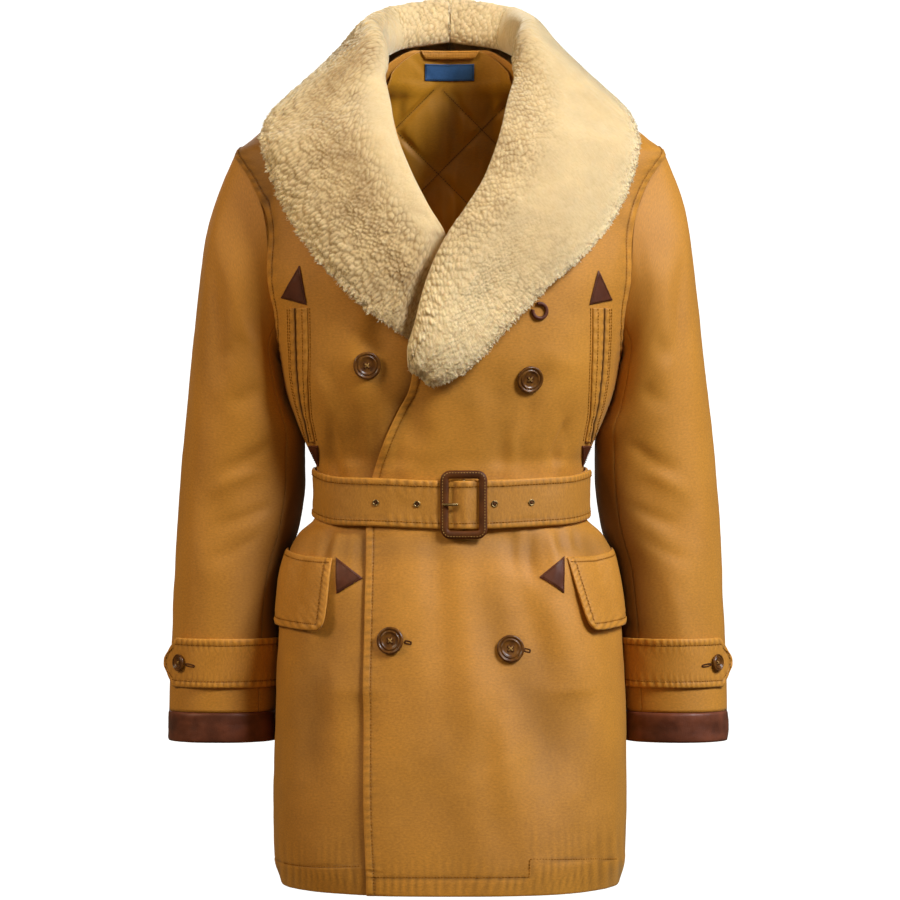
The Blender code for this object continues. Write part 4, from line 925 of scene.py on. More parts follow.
def weave_height(tree, thread):
    """Threads crossing at right angles, that many millimetres apart."""
    where = add(tree, "ShaderNodeTexCoord").outputs["UV"]
    inputs = {"Vector": where, "Scale": 500.0 / thread, "Distortion": 0.6, "Detail": 1.0}
    waves = [
        add(tree, "ShaderNodeTexWave", inputs, bands_direction=way, wave_profile="SIN").outputs[0]
        for way in ("X", "Y")
    ]
    return colour_mix(tree, 0.5, *waves)


def wear_and_painted_light(tree, colour, wear_and_highlight, pale, darkening, deep):
    """A colour that turns pale where the tone is above 0, with wear and painted highlight, and deep where it
    is below, with dark seams and painted shade.
    """
    tone = tone_of(tree)
    colour = colour_mix(tree, span(tree, tone, 0.0, 1.0, 0.0, wear_and_highlight), colour, pale)
    return colour_mix(tree, span(tree, tone, 0.0, -1.0, 0.0, darkening), colour, deep)


def cloth_look(name, light, dark, thread=0.8, roughness=0.62, sheen=0.12, weave=0.35, mottle=1.0):
    """Woven cloth: mottled dye, a tone that pales and darkens it along its seams, edges and folds (wear,
    painted light and painted shade), slubs and a weave.
    """
    look, tree, shader = new_look(name, Roughness=roughness, Sheen_Weight=sheen, Sheen_Roughness=0.45)
    shader.inputs["Sheen Tint"].default_value = (1.0, 0.84, 0.50, 1)
    shader.inputs["Specular IOR Level"].default_value = 0.55
    colour = colour_mix(tree, span(tree, grain(tree, 75, 3.0), 0.3, 0.7), light, dark)
    fine = span(tree, grain(tree, 1.9, 4.0, (0.55, 1.0, 1.0), "UV", 0.7), 0.32, 0.68)
    lighter = tuple(min(1.0, c) for c in scaled(light, 1 + 0.16 * mottle))
    flecks = colour_mix(tree, fine, scaled(dark, 1 - 0.13 * mottle), lighter)
    colour = colour_mix(tree, 0.62, colour, flecks)
    pale = tuple(min(1.0, c) for c in scaled(light, 1.55))
    feed(tree, shader, Base_Color=wear_and_painted_light(tree, colour, 0.75, pale, 0.93, scaled(dark, 0.22)))
    normal = bump(tree, weave_height(tree, thread), 0.00018, weave)
    for stretch in ((1.0, 0.30, 1.0), (0.30, 1.0, 1.0)):
        normal = bump(tree, grain(tree, 0.9, 2.0, stretch, "UV"), 0.00016, 0.28, normal)
    feed(tree, shader, Normal=bump(tree, grain(tree, 7.0, 3.0), 0.0006, 0.16, normal))
    return look


def leather_look(name, light, dark, roughness=0.40):
    look, tree, shader = new_look(name, Coat_Weight=0.03, Coat_Roughness=0.35, Specular_IOR_Level=0.25)
    colour = colour_mix(tree, span(tree, grain(tree, 14, 3.0), 0.3, 0.7), light, dark)
    colour = wear_and_painted_light(tree, colour, 0.6, scaled(light, 2.2), 0.8, scaled(dark, 0.3))
    where = add(tree, "ShaderNodeTexCoord").outputs["Object"]
    pebbles = add(tree, "ShaderNodeTexVoronoi", {"Vector": where, "Scale": 900.0}, feature="SMOOTH_F1")
    pores = grain(tree, 5.0, 4.0)
    normal = bump(tree, pores, 0.0006, 0.35, bump(tree, pebbles.outputs[0], 0.00022, 0.5))
    rough = span(tree, pores, 0.3, 0.7, roughness - 0.08, roughness + 0.12)
    feed(tree, shader, Base_Color=colour, Roughness=rough, Normal=normal)
    return look


def pile_look(name, root, tip):
    look, tree, shader = new_look(
        name, Roughness=0.85, Sheen_Weight=0.9, Sheen_Roughness=0.5,
        Subsurface_Weight=0.30, Subsurface_Scale=0.006, Specular_IOR_Level=0.12,
    )
    shader.inputs["Sheen Tint"].default_value = (1.0, 0.90, 0.70, 1)
    shader.inputs["Subsurface Radius"].default_value = (1.0, 0.7, 0.45)
    colour = colour_mix(tree, span(tree, tone_of(tree), 0.0, 1.0), root, tip)
    patches = span(tree, grain(tree, 26, 3.0), 0.32, 0.68)
    warm = tuple(a * b for a, b in zip(tip, (0.93, 0.87, 0.76)))
    colour = colour_mix(tree, span(tree, patches, 0, 1, 0.0, 0.35), colour, warm)
    streaks = grain(tree, 1.5, 3.0, (1.0, 0.28, 1.0), "UV")
    colour = colour_mix(tree, span(tree, streaks, 0.35, 0.65, 0.0, 0.30), colour, scaled(tip, 0.80))
    normal = bump(tree, grain(tree, 3.4, 2.0), 0.0012, 0.35, bump(tree, streaks, 0.0009, 0.45))
    feed(tree, shader, Base_Color=colour, Normal=normal)
    return look


def thread_look(name, light, dark):
    look, tree, shader = new_look(name, Roughness=0.85, Specular_IOR_Level=0.15)
    where = add(tree, "ShaderNodeTexCoord").outputs["Object"]
    twist = add(tree, "ShaderNodeTexWave", {"Scale": 900.0, "Vector": where}).outputs[0]
    colour = colour_mix(tree, span(tree, grain(tree, 9, 2.0), 0.3, 0.7), light, dark)
    feed(tree, shader, Base_Color=colour, Normal=bump(tree, twist, 0.0001, 0.4))
    return look


def horn_look(name):
    look, tree, shader = new_look(
        name, Roughness=0.32, Coat_Weight=0.10, Coat_Roughness=0.16, Specular_IOR_Level=0.3
    )
    streaks = span(tree, grain(tree, 7, 4.0, (1.0, 3.0, 0.35)), 0.35, 0.65)
    colour = colour_mix(tree, streaks, (0.090, 0.027, 0.003), (0.205, 0.074, 0.010))
    spots = span(tree, grain(tree, 3, 3.0), 0.4, 0.7, 0, 0.5)
    colour = colour_mix(tree, spots, colour, (0.035, 0.014, 0.007))
    feed(tree, shader, Base_Color=colour, Normal=bump(tree, grain(tree, 2.2, 3.0), 0.0002, 0.25))
    return look


def brass_look(name):
    look, tree, shader = new_look(name, Metallic=1.0)
    aged = span(tree, grain(tree, 2.0, 4.0), 0.35, 0.65)
    colour = colour_mix(tree, aged, (0.50, 0.34, 0.14), (0.20, 0.12, 0.05))
    normal = bump(tree, grain(tree, 1.0, 3.0), 0.0001, 0.4)
    feed(tree, shader, Base_Color=colour, Roughness=span(tree, aged, 0, 1, 0.25, 0.5), Normal=normal)
    return look


LOOKS = {
    "canvas": cloth_look("canvas", (0.600, 0.244, 0.019), (0.470, 0.176, 0.009)),
    "lining": cloth_look("lining", (0.540, 0.232, 0.011), (0.420, 0.174, 0.007), 0.5, 0.5, 0.05, 0.12, 0.5),
    "leather": leather_look("leather", (0.150, 0.042, 0.020), (0.090, 0.025, 0.012)),
    "strap_leather": leather_look("strap_leather", (0.130, 0.034, 0.003), (0.062, 0.016, 0.002), 0.5),
    "pile": pile_look("pile", (0.27, 0.135, 0.036), (0.940, 0.700, 0.388)),
    "thread": thread_look("thread", (0.36, 0.135, 0.010), (0.26, 0.094, 0.006)),
    # Dark thread; the same look paints the shade in the eyelets' and buttons' holes.
    "dark_thread": thread_look("dark_thread", (0.12, 0.042, 0.012), (0.07, 0.024, 0.008)),
    "ochre_thread": thread_look("ochre_thread", (0.45, 0.24, 0.07), (0.30, 0.15, 0.04)),
    "horn": horn_look("horn"),
    "brass": brass_look("brass"),
    "label": cloth_look("label", (0.026, 0.105, 0.270), (0.020, 0.085, 0.225), 0.6, 0.6, 0.05, 0.5, 0.6),
    "label_thread": thread_look("label_thread", (0.02, 0.05, 0.12), (0.012, 0.03, 0.08)),
}


# ---------------------------------------------------------------- the cloth's fine form
# Soft troughs (-) and ridges (+) on the front: x and z of both ends, width and depth.
CREASES = (
    (121, -360, 107, -442, 5, -3.4), (114, -362, 99, -442, 6, 2.2), (70, -340, 52, -444, 9, -1.5),
    (90, -330, 70, -444, 9, -1.8), (100, -352, 84, -444, 7, -1.2), (62, -366, 58, -444, 6, 1.0),
    (-96, -350, -82, -444, 8, -1.6), (-78, -340, -68, -444, 8, -1.3), (-52, -372, -52, -444, 6, -1.2),
    (-124, -356, -110, -442, 6, -2.6), (-104, -470, -112, -520, 6, -2.0), (-122, -470, -132, -512, 6, -2.4),
    (-90, -470, -92, -530, 7, -1.6), (114, -470, 118, -500, 6, -2.4), (84, -470, 88, -528, 6, -2.2),
    (98, -470, 106, -540, 6, 1.6), (66, -470, 66, -520, 6, -1.4), (128, -470, 134, -496, 5, -1.8),
    (-38, -322, -32, -392, 14, -2.6), (-72, -236, -62, -340, 14, -3.0), (-104, -262, -98, -350, 18, 1.8),
    (187, -104, 186, -190, 7, -2.4), (-187, -104, -186, -190, 7, -2.4), (178, -110, 176, -200, 7, 1.6),
    (20, -500, 150, -760, 22, -2.6), (60, -500, 170, -700, 20, 2.4), (-20, -540, 60, -830, 26, 2.4),
    (96, -560, 130, -830, 20, -1.8), (-100, -500, -152, -770, 18, -2.6), (-120, -610, -128, -830, 18, 2.0),
    (-84, -640, -104, -840, 16, -1.8), (20, -330, 60, -402, 16, 0.8), (110, -300, 66, -360, 18, -1.8),
    (40, -640, 70, -840, 16, -2.0), (-10, -480, 8, -640, 18, -1.8), (-146, -300, -116, -398, 12, 2.0),
)
# The same for the back, in the same x and z.
BACK_CREASES = (
    (-60, -140, -90, -330, 20, -2.4), (70, -150, 96, -340, 20, -2.2), (0, -120, 4, -360, 24, 1.8),
    (-120, -90, -60, -180, 22, -2.0), (118, -92, 56, -190, 22, -2.2), (-40, -380, -34, -424, 6, -2.2),
    (28, -378, 24, -424, 6, -2.4), (78, -376, 74, -424, 6, -2.0), (-92, -380, -86, -424, 6, -2.4),
    (-60, -470, -96, -720, 16, -2.4), (54, -470, 110, -760, 18, -2.6), (4, -500, -20, -800, 20, 2.2),
    (120, -480, 142, -640, 12, -2.0), (-124, -480, -146, -660, 12, -2.0), (30, -600, 46, -840, 16, -1.8),
)
# The same for a sleeve: row and angle of both ends, width and depth.
SLEEVE_CREASES = (
    (2.0, 40, 5.4, 62, 10, -1.8), (3.2, 95, 4.6, 70, 9, -2.4), (4.6, 110, 5.6, 78, 8, -2.2),
    (6.2, 118, 7.0, 70, 7, -2.8), (6.9, 112, 7.5, 60, 7, 2.0), (7.6, 122, 8.1, 72, 7, -2.6),
    (8.2, 118, 8.8, 66, 7, -2.0), (8.8, 60, 11.0, 48, 12, -1.8), (5.6, 30, 9.4, 10, 14, -1.6),
    (9.0, 100, 10.8, 84, 10, 1.6), (1.4, -60, 4.8, -40, 12, -1.8), (6.4, -118, 7.2, -70, 9, -2.6),
    (7.2, -116, 8.0, -64, 9, -2.2), (8.6, -60, 10.9, -40, 12, -1.8), (3.0, 170, 5.0, 150, 9, -1.8),
)


def soft_lines(u, v, lines):
    """Height of soft troughs and ridges: each has two ends (u, v), a width and a depth."""
    height = np.zeros(np.broadcast(u, v).shape)
    for au, av, bu, bv, width, depth in lines:
        du, dv = bu - au, bv - av
        length = math.hypot(du, dv)
        along = ((u - au) * du + (v - av) * dv) / length**2
        bend = 0.06 * length * np.sin(np.pi * np.clip(along, 0, 1)) * (1 if depth > 0 else -1)
        off = ((u - au) * dv - (v - av) * du) / length + bend
        ends = ramp(along, -0.12, 0.35) * ramp(along, 1.12, 0.6)
        wide = width * (0.8 + 0.5 * np.clip(along, 0, 1))
        height += depth * ends * np.exp(-((off / wide) ** 2))
    return height


# The belt holds the cloth calm here, and a painted shadow lies under it here.
CALM_Z, CALM_HEIGHT = -446.0, 26.0
BELT_SHADE_Z, BELT_SHADE_HEIGHT = -490.0, 15.0


def body_detail(base):
    """Creases and the slack of the cloth, as a height over the body's plain folds."""
    slack = 1.7 * wander(base * (1, 1, 0.5), 62, 1) + 0.75 * wander(base * (1, 1, 0.6), 24, 2)
    slack += 0.16 * wander(base, 8, 3)
    x, z = base[..., 0], base[..., 2]
    ahead = ramp(base[..., 1], 25, -5)
    slack += 1.7 * (ahead * soft_lines(x, z, CREASES) + (1 - ahead) * soft_lines(x, z, BACK_CREASES))
    under_belt = np.exp(-(((z - CALM_Z) / CALM_HEIGHT) ** 2))
    return slack * (1 - 0.75 * under_belt)


def topstitch(away, along, at, fold, seed=5):
    """The height and tone of a folded edge: away is the distance in from it, along runs beside it."""
    wave = along / 8.2 + 0.6 * np.sin(along / 31.0 + seed) + 0.35 * np.sin(along / 13.7 + 2 * seed)
    inside = ramp(away, at + 1.4, at - 0.8)
    groove = np.exp(-(((away - at) / 1.1) ** 2))
    pucker = np.sin(2 * np.pi * wave) * np.exp(-(((away - at * 0.55) / (at * 0.5)) ** 2))
    pucker += 0.5 * np.sin(2 * np.pi * wave + 1.3) * np.exp(-(((away - at * 1.6) / (at * 0.5)) ** 2))
    edge = np.exp(-np.maximum(away, 0) / 1.0)
    height = fold * inside - 0.60 * groove + 0.50 * pucker - 0.7 * edge
    # Painted shade darkens the stitch groove and the puckers' troughs, and painted light brightens their
    # crests; the folded edge is paler with wear, and the band out to the stitches a little lighter.
    tone = -0.44 * groove + 0.30 * pucker * ramp(away, at * 3, at)
    tone = tone + 0.25 * edge + 0.06 * ramp(away, at, at - 2)
    return height, tone


def armhole_away(y, z, reach):
    """Distance from the armhole's edge out over the body, in millimetres."""
    up, out = (z - ARMHOLE_MIDDLE_Z) / ARMHOLE_HALF, (y - body["side"](z)) / reach
    radius = np.maximum(np.hypot(up, out), 1e-3)
    slope = np.hypot(up / ARMHOLE_HALF, out / reach) / radius
    return (radius - 1) / np.maximum(slope, 1e-3)


# How far in from each edge its row of stitches runs.
EDGE_STITCH, ARMHOLE_STITCH, HEM_STITCH = 8.0, 9.0, 26.0
# The fronts' hem rows rise towards the side seams, by x; the over front's steps up at its facing.
OVER_HEM_PLAIN, OVER_HEM_STEP_X = 20.0, 80.2
OVER_HEM = ((80, 38), (120, 36), (150, 34), (176, 30))
UNDER_HEM = ((92, 30), (120, 28), (150, 26), (176, 26))


def panel_relief(base, layer):
    """Everything fine on a body panel: (height, tone) at points of the body's plain surface."""
    x, y, z = base[..., 0], base[..., 1], base[..., 2]
    height, tone = body_detail(base), np.zeros(z.shape)
    lots = []
    if layer != "back":
        lots.append((SIDES[layer] * x - front_edge(z), z, EDGE_STITCH, 0.9))
    reach = ARMHOLE_BACK if layer == "back" else -ARMHOLE_FRONT
    lots.append((armhole_away(y, z, reach), z, ARMHOLE_STITCH, 0.5))
    hem_stitch = HEM_STITCH
    if layer == "over":
        hem_stitch = np.where(x > OVER_HEM_STEP_X, np.interp(x, *zip(*OVER_HEM)), OVER_HEM_PLAIN)
    elif layer == "under":
        hem_stitch = np.interp(-x, *zip(*UNDER_HEM))
    lots.append((z - HEM_Z, x, hem_stitch, 0.5))
    for k, (away, along, at, fold) in enumerate(lots):
        lift, shade = topstitch(away, along, at, fold)
        if k == len(lots) - 2:
            lift = lift + 0.6 * np.exp(-np.maximum(away, 0))
        height, tone = height + lift, tone + shade
    # On the under front: a painted shadow of the over front beside its edge, and painted shade on the
    # shoulder, where the collar shades it.
    if layer == "under":
        beyond = front_edge(z) - x
        edge_shadow = np.exp(-np.maximum(beyond, 0) / 13.0) * ramp(beyond, -2, 0)
        tone = tone - (0.28 + 0.34 * ramp(z, -415, -385)) * edge_shadow
        tone = tone - 0.45 * ramp(-x, 150, 205) * ramp(z, -250, -150)
    # On the fronts, painted shade in the creases' troughs and painted light on their ridges, and a painted
    # shadow under the belt; the back's creases are painted the same way.
    if layer != "back":
        belt_shadow = np.exp(-(((z - BELT_SHADE_Z) / BELT_SHADE_HEIGHT) ** 2))
        tone = tone + 0.05 * soft_lines(x, z, CREASES) - 0.32 * belt_shadow
    else:
        tone = tone + 0.06 * soft_lines(x, z, BACK_CREASES)
    # Painted shade: the cloth darker down the skirt.
    tone = tone - 0.13 * ramp(z, -500, -680)
    hem_edge = np.exp(-((z - HEM_Z) / 5.0))
    tone = tone + 0.25 * hem_edge * (0.5 + 0.5 * wander(base, 12, 8))
    tone = tone + 0.13 * wander(base * (1, 1, 0.6), 38, 9) + 0.06 * wander(base, 11, 10)
    return height, tone


def fine_body(turn, z, lift, layer):
    """Points on the finished face of a body panel, that far above it."""
    base = body_point(turn, z)
    return on_body(turn, z, panel_relief(base, layer)[0] + lift, layer)


def fine_front(x, z, lift, side):
    """The same by how far across a front lies a point, its own side being +."""
    x, z = np.broadcast_arrays(np.asarray(x, float), np.asarray(z, float))
    return fine_body(side * turn_at_x(x, z), z, lift, LAYER_AT[side])


def stitch_line(place, at, lift=STITCH_LIFT):
    """A line to stitch, and the way off the cloth along it, on a surface place(..., lift)."""
    low = place(*at, lift)
    return low, place(*at, lift + 1.0) - low


def front_stitch_line(x, z, side):
    """A stitch line on a front from points (x, z)."""
    at = even_path(np.stack([x, z], axis=-1), 3.0).T
    return stitch_line(lambda x, z, lift: fine_front(x, z, lift, side), at)


# Distances in from a front edge and from an armhole where a panel's columns are fixed.
EDGE_STATIONS = (0, 0.6, 1.6, 3.2, 5.2, 6.8, 7.6, 8.4, 9.6, 11.8, 15)
ARM_STATIONS = (0, 0.6, 1.8, 4, 6.4, 8.0, 9.0, 10.0, 11.6, 14)


def body_heights(top, step):
    """The heights of a body panel's rows, closer together at the hem and round the armhole."""
    below = np.arange(HEM_Z, UNDERARM_Z - 1, step)
    near_hem = HEM_Z + np.array([0.6, 1.6, 3, 22, 24.8, 25.9, 27, 28.6])
    arm = armhole_height(np.linspace(np.pi, 0, int(190 / step) + 14))
    above = np.arange(SHOULDER_Z + step, top, step)
    return np.unique(np.round(np.concatenate([below, near_hem, arm, above, [top]]), 3))


def panel_grid(heights, ends, spread):
    """Turns and heights of a panel's points.

    ends(z) gives the turns of its two sides at a height, and spread(length) the distances between them.
    """
    turns = []
    for z in heights:
        some, run = body_run(*ends(z), z)
        turns.append(np.interp(spread(run[-1]), run, some))
    return np.array(turns), heights[:, None] + np.zeros((1, len(turns[0])))


def inner_height(height):
    """Where a canvas piece's inner face lies below an outer one of that height."""
    return height * 0.85 - CLOTH + 0.4


def fine_front_panel(name, layer):
    side = SIDES[layer]
    heights = body_heights(NECK_SIDE_Z - 4, 4.0)
    count = 80

    def ends(z):
        reach = body["side"](z) - GAP / 2
        if z <= SHOULDER_Z:
            reach = min(reach, armhole_y(z, -ARMHOLE_FRONT))
        return turn_at_x(front_edge(z), z), turn_at_y(reach, z)

    turns, levels = panel_grid(heights, ends, lambda run: stations(run, count, EDGE_STATIONS, ARM_STATIONS))
    turns = turns * side
    height, tone = panel_relief(body_point(turns, levels), layer)
    outer = on_body(turns, levels, height, layer)
    keep_skin(layer, outer)
    past = turns[::3, :1] + side * np.radians([-24, -16, -8])
    plain = on_body(past, levels[::3, :3], 0.0, layer)
    keep_skin(f"{layer}_beyond", np.concatenate([plain, outer[::3, :1]], axis=1))
    inner = on_body(turns, levels, inner_height(height), layer)
    return wall(name, outer, inner, "canvas", "cloth", tone=tone)


def fine_back_panel():
    heights = body_heights(42.0, 5.0)
    count = 96

    def ends(z):
        reach = body["side"](z) + GAP / 2
        if z <= SHOULDER_Z:
            reach = max(reach, armhole_y(z, ARMHOLE_BACK))
        seam = turn_at_y(reach, z)
        if z > NECK_SIDE_Z:
            seam = turn_at_x(neckline_half_width(z), z, at_back=True)
        return seam, 2 * np.pi - seam

    turns, levels = panel_grid(heights, ends, lambda run: stations(run, count, ARM_STATIONS, ARM_STATIONS))
    height, tone = panel_relief(body_point(turns, levels), "back")
    outer = on_body(turns, levels, height)
    keep_skin("back", outer)
    return wall("back", outer, on_body(turns, levels, inner_height(height)), "canvas", "cloth", tone=tone)


def armhole_stitch_line(layer, side, reach, angle):
    """The row of stitches round an armhole; reach is + behind the side line."""
    z = ARMHOLE_MIDDLE_Z + (ARMHOLE_HALF + ARMHOLE_STITCH) * np.cos(angle)
    y = body["side"](z) + (reach + math.copysign(ARMHOLE_STITCH, reach)) * np.sin(angle)
    at = side * turn_at_y(y, z), z
    return stitch_line(lambda turn, z, lift: fine_body(turn, z, lift, layer), at)


def body_stitching():
    """The topstitching of both fronts and the back."""
    angle = np.linspace(0.12, np.pi - 0.12, 90)
    z = np.arange(HEM_Z + 3, -172, 3.0)
    for layer, side in SIDES.items():
        if layer == "over":
            rise = ((-80, OVER_HEM_PLAIN), (80, OVER_HEM_PLAIN), (80.5, 38), *OVER_HEM[1:])
        else:
            rise = UNDER_HEM
        hem = even_path(rise, 3.0)
        stitches(f"stitching_front_{layer}", [
            front_stitch_line(front_edge(z) + EDGE_STITCH, z, side),
            armhole_stitch_line(layer, side, -ARMHOLE_FRONT, angle),
            front_stitch_line(np.minimum(hem[:, 0], 173), HEM_Z + hem[:, 1], side),
        ])
    at = np.linspace(np.pi / 2 + 0.05, 1.5 * np.pi - 0.05, 90), np.full(90, HEM_Z + HEM_STITCH)
    lines = [stitch_line(lambda turn, z, lift: fine_body(turn, z, lift, "back"), at)]
    lines += [armhole_stitch_line("back", side, ARMHOLE_BACK, angle) for side in (1, -1)]
    stitches("stitching_back", lines)


# ---------------------------------------------------------------- lining
# The diagonal rows of quilting: their spacing, and where one row of each way runs.
QUILT_SPACING, QUILT_DOWN, QUILT_UP = 67.0, -12.6, -5.5


def quilt_pattern(x, z):
    """The distance to the nearest row of quilting."""
    down = ((x - z) * math.sqrt(0.5) - QUILT_DOWN) / QUILT_SPACING
    up = ((x + z) * math.sqrt(0.5) - QUILT_UP) / QUILT_SPACING
    return np.minimum(np.abs(down - np.round(down)), np.abs(up - np.round(up))) * QUILT_SPACING


def lining_relief(points):
    """The lining's pillows and wrinkles: (height, tone)."""
    x, z = points[..., 0], points[..., 2]
    near = quilt_pattern(x, z)
    below = ramp(z, 12, -4)
    pillow = 2.6 * (1 - np.exp(-near / 9.0)) * below
    wrinkle = 1.9 * wander(points * (1, 0.4, 0.13), 10, 21) + 0.5 * wander(points * (1, 0.4, 0.25), 5, 22)
    wrinkle += 2.4 * wander(points * (1, 0.4, 0.14), 21, 23)
    wrinkle *= 0.5 + 0.9 * ramp(z, 15, -30)
    # Painted shade darkens the quilting's rows and the wrinkles' troughs, painted light brightens the
    # wrinkles' crests, and painted light makes the lining paler lower down.
    tone = -0.55 * np.exp(-((near / 0.9) ** 2)) * below + 0.10 * wrinkle + 1.1 * ramp(z, -60, -150)
    return pillow + wrinkle * ramp(near, 0, 6), tone


def fine_lining():
    rows, columns = ((130, 125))
    heights = np.concatenate([np.linspace(-300, NECK_SIDE_Z - 6, rows), np.linspace(6, 42, 14)])

    def ends(z):
        half = min(150.0, body["half_width"](z) - 12)
        if z > NECK_SIDE_Z - 6:
            half = min(half, neckline_half_width(z) - 6)
        seam = turn_at_x(half, z, at_back=True)
        return seam, 2 * np.pi - seam

    turns, levels = panel_grid(heights, ends, lambda run: np.linspace(0, run, columns))
    depth = lining_depth(levels)
    plain = on_body(turns, levels, -depth - 0.4)
    relief, tone = lining_relief(plain)
    relief = np.maximum(relief, -0.9)
    quilted = on_body(turns, levels, -(depth + LINING_CLOTH + relief))
    keep_skin("lining", quilted)
    return wall("back_lining", quilted, plain, "lining", "lining", tone=tone)


LINING_TOP_Z = 37.0
AHEAD = np.array([0.0, -1.0, 0.0])


def on_lining(x, z, lift):
    """Points in front of the fine lining, inside the back of the neck."""
    x, z = np.broadcast_arrays(np.asarray(x, float), np.asarray(z, float))
    cast = SKINS["lining"].ray_cast
    hits = []
    for px, pz in zip(x.ravel().tolist(), z.ravel().tolist()):
        hit = cast((px, 0.0, min(pz, LINING_TOP_Z)), (0.0, 1.0, 0.0))[0]
        hits.append(hit[1] if hit is not None else np.nan)
    y = np.array(hits).reshape(x.shape)
    return np.stack([x, y - lift, z], axis=-1)


def lining_stitching():
    lines = []
    for number in range(-6, 7):
        for way in (1, -1):
            first = QUILT_DOWN if way > 0 else QUILT_UP
            offset = (first + number * QUILT_SPACING) * math.sqrt(2)
            x = np.arange(-112, 112, 3.0)
            z = way * (x - offset)
            keep = (z < 2) & (z > -290)
            if keep.sum() < 4:
                continue
            points = on_lining(x[keep], z[keep], 0.1)
            points = points[~np.isnan(points[:, 1])]
            if len(points) > 3:
                lines.append((points, np.tile(AHEAD, (len(points), 1))))
    stitches("stitching_lining", lines, "dark_thread", "lining", pitch=2.8, length=2.2, thread=0.3)


# ---------------------------------------------------------------- sleeves
# How far down the sleeve each of its table rows lies, along its middle.
SLEEVE_DOWN = (0, 34, 70, 114, 164, 220, 276, 333, 388, 442, 498, 553, 590, 622)


def sleeve_run(angle, row):
    """About how far round (mm) and down (mm) a point of the sleeve lies, for its creases."""
    return np.asarray(angle) * SLEEVE_RADIUS, np.interp(row, np.arange(len(SLEEVE)), SLEEVE_DOWN)


def round_cylinder(angle, down):
    """The sleeve as a plain cylinder, for noise that meets itself all round."""
    return np.stack([SLEEVE_RADIUS * np.cos(angle), SLEEVE_RADIUS * np.sin(angle), -down], axis=-1)


def sleeve_relief(angle, row, side):
    """Everything fine on a sleeve: (height, tone)."""
    angle, row = np.broadcast_arrays(np.asarray(angle, float), np.asarray(row, float))
    wrapped = (angle + np.pi) % (2 * np.pi) - np.pi
    u, v = sleeve_run(wrapped, row)
    points = round_cylinder(angle, v)
    seed = 30 if side > 0 else 50
    height = 1.2 * wander(points * (1, 1, 0.45), 48, seed) + 0.5 * wander(points * (1, 1, 0.6), 18, seed + 1)
    height += 0.14 * wander(points, 7, seed + 2)
    lines = []
    for row_a, angle_a, row_b, angle_b, width, depth in SLEEVE_CREASES:
        ends = *sleeve_run(math.radians(angle_a), row_a), *sleeve_run(math.radians(angle_b), row_b)
        lines.append((*map(float, ends), width, depth))
    height += 0.8 * soft_lines(u, v, lines)
    from_inside = 180 - np.abs(np.degrees(wrapped))
    height += 4.5 * np.exp(-(((row - 2.6) / 1.6) ** 2) - (from_inside / 36) ** 2)
    held = ramp(row, 0.0, 0.8) * ramp(row, 12.6, 10.6)
    height = height * (0.15 + 0.85 * held)
    near_skirt = ramp(row, 9.2, 10.0) * ramp(row, 12.0, 11.8)
    height += 3.0 * near_skirt * np.exp(-((from_inside / 30) ** 2))
    tone = 0.10 * wander(points * (1, 1, 0.6), 34, seed + 4)
    head = np.exp(-(v / 2.0))
    height += 0.2 * head
    tone -= 0.35 * head
    # Painted shade down the sleeve's inner side, where the body shades it: strongest on the lower arm,
    # weaker near the cuff.
    darkening = np.exp(-((from_inside / (34 + 22 * ramp(row, 5, 8.5))) ** 2))
    tone -= 1.55 * darkening * ramp(row, 4.0, 7.6) * (0.25 + 0.75 * ramp(row, 11.2, 9.8))
    return height, tone


SEAM_STATIONS = (0, 0.5, 1.4, 3.0, 5.5)
SEAM_GAP_ANGLE = 0.35


def fine_sleeve_piece(name, side, first, last, count):
    rows = np.concatenate([[0, 0.03, 0.08, 0.16], np.linspace(0.26, CUFF_ROW, 132)])
    girth = math.radians(last - first) * SLEEVE_RADIUS
    start, end = math.radians(first + SEAM_GAP_ANGLE), math.radians(last - SEAM_GAP_ANGLE)
    angles = start + stations(girth, count, SEAM_STATIONS, SEAM_STATIONS) / SLEEVE_RADIUS
    angles = np.clip(angles, start, end)
    angle, row = np.meshgrid(angles, rows)
    height, tone = sleeve_relief(angle, row, side)
    seam = np.minimum(angle - angles[0], angles[-1] - angle) * SLEEVE_RADIUS
    height -= 0.25 * np.exp(-seam / 1.1)
    height += 0.2 * np.exp(-(((seam - 3.5) / 2.2) ** 2))
    tone -= 0.06 * np.exp(-seam / 1.3)
    leave = (1 - ramp(row, 0, 0.9))[..., None] * np.array([side, 0, 0]) * 0.1
    outer = on_sleeve(angle, row, height, side) + leave
    inner = on_sleeve(angle, row, inner_height(height), side) + leave
    keep_skin(name, outer)
    return wall(name, outer, inner, "canvas", "cloth", tone=tone)


def fine_cuff_binding(name, side):
    angles = np.linspace(0, 2 * np.pi, 150, endpoint=False)
    angle, row = np.meshgrid(angles, np.linspace(CUFF_ROW + 0.015, SLEEVE_END_ROW, 13))
    points = round_cylinder(angle, sleeve_run(angle, row)[1])
    seed = 70 if side > 0 else 80
    folds = 0.8 * wander(points * (1, 1, 2.0), 26, seed) + 0.35 * wander(points * (1, 1, 2.5), 9, seed + 1)
    edge = np.exp(-(row - CUFF_ROW - 0.015) * 32 / 1.2) + np.exp(-(SLEEVE_END_ROW - row) * 32 / 1.6)
    height = 1.3 + folds - 1.0 * edge
    outer = on_sleeve(angle, row, height, side)
    inner = on_sleeve(angle, row, -CLOTH + 0.5 + folds * 0.3, side)
    # Painted light on the folds' crests and painted shade in their troughs; the edges paler.
    tone = 0.5 * folds + 0.25 * edge
    return wall(f"cuff_binding_{name}", outer, inner, "leather", "leather", ring=True, tone=tone)


